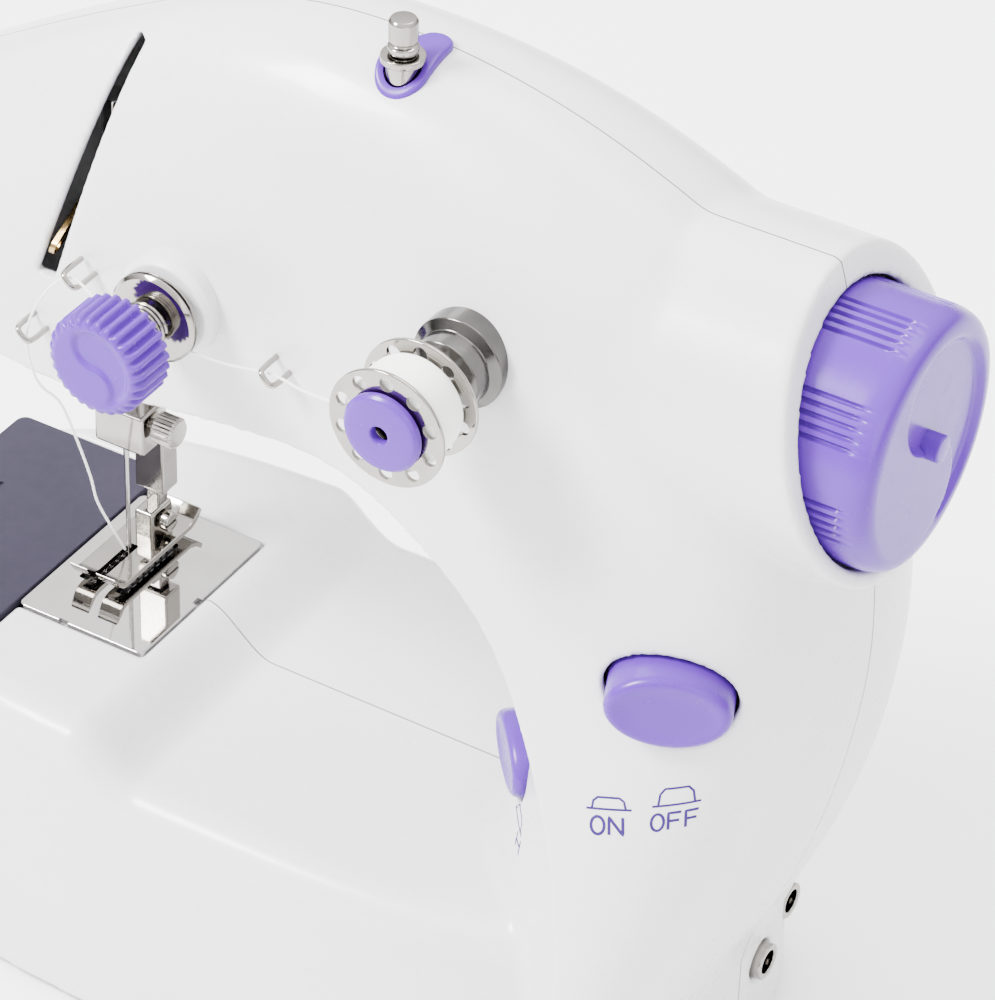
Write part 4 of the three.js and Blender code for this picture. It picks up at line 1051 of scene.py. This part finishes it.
def printed(name, strokes, at, right, up, line, tree):
    """Strokes laid on the housing as a thin closed band of ink."""
    right = np.array(right, float) / np.linalg.norm(right)
    up = np.array(up, float) / np.linalg.norm(up)
    points, faces = [], []

    def on_skin(u, v, lift):
        spot, normal, _, _ = tree.find_nearest(Vector(metres([np.array(at) + right * u + up * v])[0]))
        return np.array(spot + normal * (lift / 1000)) * 1000 + ORIGIN

    for stroke in strokes:
        ends = np.array(stroke, float)
        path = [ends[0]]
        for a, b in zip(ends[:-1], ends[1:]):
            count = max(int(np.linalg.norm(b - a) / 0.35), 1)
            path += [a + (b - a) * (i + 1) / count for i in range(count)]
        path = np.array(path)
        ahead = np.gradient(path, axis=0)
        ahead /= np.linalg.norm(ahead, axis=1)[:, None]
        start = len(points)
        for (u, v), (du, dv) in zip(path, ahead):
            for side, lift in ((1, 0.04), (-1, 0.04), (-1, -0.1), (1, -0.1)):
                points.append(on_skin(u - dv * side * line / 2, v + du * side * line / 2, lift))
        for i in range(len(path) - 1):
            a, b = start + 4 * i, start + 4 * (i + 1)
            faces += [(a + k, a + (k + 1) % 4, b + (k + 1) % 4, b + k) for k in range(4)]
        last = start + 4 * (len(path) - 1)
        faces += [tuple(start + k for k in range(4)), tuple(last + k for k in range(4))]
    place(made(name, points, faces, smooth=False), "housing", PRINT)


def prints(front):
    """Generic switch marks beside the two buttons."""
    mesh = front.data
    points = [v.co.copy() for v in mesh.vertices]
    tree = BVHTree.FromPolygons(points, [tuple(p.vertices) for p in mesh.polygons])
    on = ((5.7, 1.0, 1.6), (-0.6, 0.7, 4.1))
    off = ((6.3, 3.5, 1.9), (-0.3, 0.4, 4.3))
    high = ((0.64, -0.76, 0), (0, 0, 1))
    marks = (
        ("mark_on", word_strokes("ON", 6.4, 3.2), (117.3, -38, 22.6), on, 0.55),
        ("sign_on", push_sign(2.1), (116.9, -37.5, 27.2), on, 0.4),
        ("mark_off", word_strokes("OFF", 8.4, 3.1), (127.4, -34.6, 26.2), off, 0.5),
        ("sign_off", push_sign(3.1), (127.2, -34.2, 30.8), off, 0.4),
        ("mark_high", word_strokes("H", 3.4, 2.9), (95.4, -28, 1.2), high, 0.45),
        ("sign_high", push_sign(2.2), (93.6, -25.6, 5), high, 0.4),
    )
    for name, strokes, at, (right, up), line in marks:
        printed(name, strokes, at, right, up, line, tree)


# ---------- camera, light and floor ----------
def camera():
    """A long lens above the right front corner."""
    a, e, roll = map(math.radians, (30.36236, 37.12358, 1.82086))
    focal, shift_x, shift_y, distance = 4507.812, -355.587, 72.1456, 802.016
    right = Vector((math.cos(a), math.sin(a), 0))
    up = Vector((-math.sin(a) * math.sin(e), math.cos(a) * math.sin(e), math.cos(e)))
    ahead = Vector((-math.sin(a) * math.cos(e), math.cos(a) * math.cos(e), -math.sin(e)))
    r = right * math.cos(roll) + up * math.sin(roll)
    u = -right * math.sin(roll) + up * math.cos(roll)
    centre = -(ahead * distance + r * (shift_x * distance / focal) - u * (shift_y * distance / focal))
    data = bpy.data.cameras.new("camera")
    data.sensor_width = 36
    data.lens = focal / 1000 * 36
    data.clip_start = 0.05
    data.clip_end = 20
    cam = bpy.data.objects.new("camera", data)
    bpy.context.scene.collection.objects.link(cam)
    spot = metres([list(centre)])[0]
    cam.matrix_world = Matrix(
        (
            (r.x, u.x, -ahead.x, spot[0]),
            (r.y, u.y, -ahead.y, spot[1]),
            (r.z, u.z, -ahead.z, spot[2]),
            (0, 0, 0, 1),
        )
    )
    bpy.context.scene.camera = cam


def area_light(name, at, towards, size, power):
    """A soft rectangular lamp."""
    data = bpy.data.lights.new(name, "AREA")
    data.shape = "RECTANGLE"
    data.size, data.size_y = size
    data.energy = power
    lamp = bpy.data.objects.new(name, data)
    bpy.context.scene.collection.objects.link(lamp)
    lamp.location = at
    lamp.rotation_euler = (Vector(towards) - Vector(at)).to_track_quat("-Z", "Y").to_euler()


def studio():
    """A bright room, three soft lamps and a pale floor."""
    world = bpy.data.worlds.new("studio")
    bpy.context.scene.world = world
    world.use_nodes = True
    tree = world.node_tree
    back = tree.nodes["Background"]
    back.inputs["Color"].default_value = (1, 1, 1, 1)
    # a soft room: dim towards the horizon, bright overhead
    where = tree.nodes.new("ShaderNodeTexCoord")
    split = tree.nodes.new("ShaderNodeSeparateXYZ")
    height = tree.nodes.new("ShaderNodeMapRange")
    tree.links.new(where.outputs["Generated"], split.inputs["Vector"])
    tree.links.new(split.outputs["Z"], height.inputs["Value"])
    height.inputs["From Min"].default_value = 0.0
    height.inputs["From Max"].default_value = 0.65
    height.inputs["To Min"].default_value = 0.2
    height.inputs["To Max"].default_value = 3.1
    tree.links.new(height.outputs["Result"], back.inputs["Strength"])
    area_light("key", (-0.75, -0.7, 1.15), (0, 0, 0.08), (0.45, 0.45), 80)
    area_light("fill", (1.0, -0.9, 0.6), (0, 0, 0.08), (0.8, 0.8), 8)
    area_light("top", (0.1, 0.5, 1.3), (0, 0, 0.08), (1.0, 0.6), 18)
    floor_mesh = bpy.data.meshes.new("studio_floor")
    reach, level = 6, -0.0002
    corners = [(-reach, -reach), (reach, -reach), (reach, reach), (-reach, reach)]
    floor_mesh.from_pydata([(x, y, level) for x, y in corners], [], [(0, 1, 2, 3)])
    ground = new_object("studio_floor", floor_mesh)
    paper, tree, shader = material("pale_floor")
    vector = coordinates(tree)
    drift = noise(tree, vector, 0.01, 2)
    tone = tinted(tree, drift, (0.93, 0.93, 0.93), (0.96, 0.96, 0.96))
    tree.links.new(tone, shader.inputs["Base Color"])
    shader.inputs["Roughness"].default_value = 0.9
    ground.data.materials.append(paper)


dress_nodes()
camera()
studio()
front_half = housing()
handwheel()
tension_group()
winder_group()
spool_group()
spool_collar()
guides()
needle_group()
presser_group()
bed_plates()
keys_and_jacks()
upper_thread()
prints(front_half)
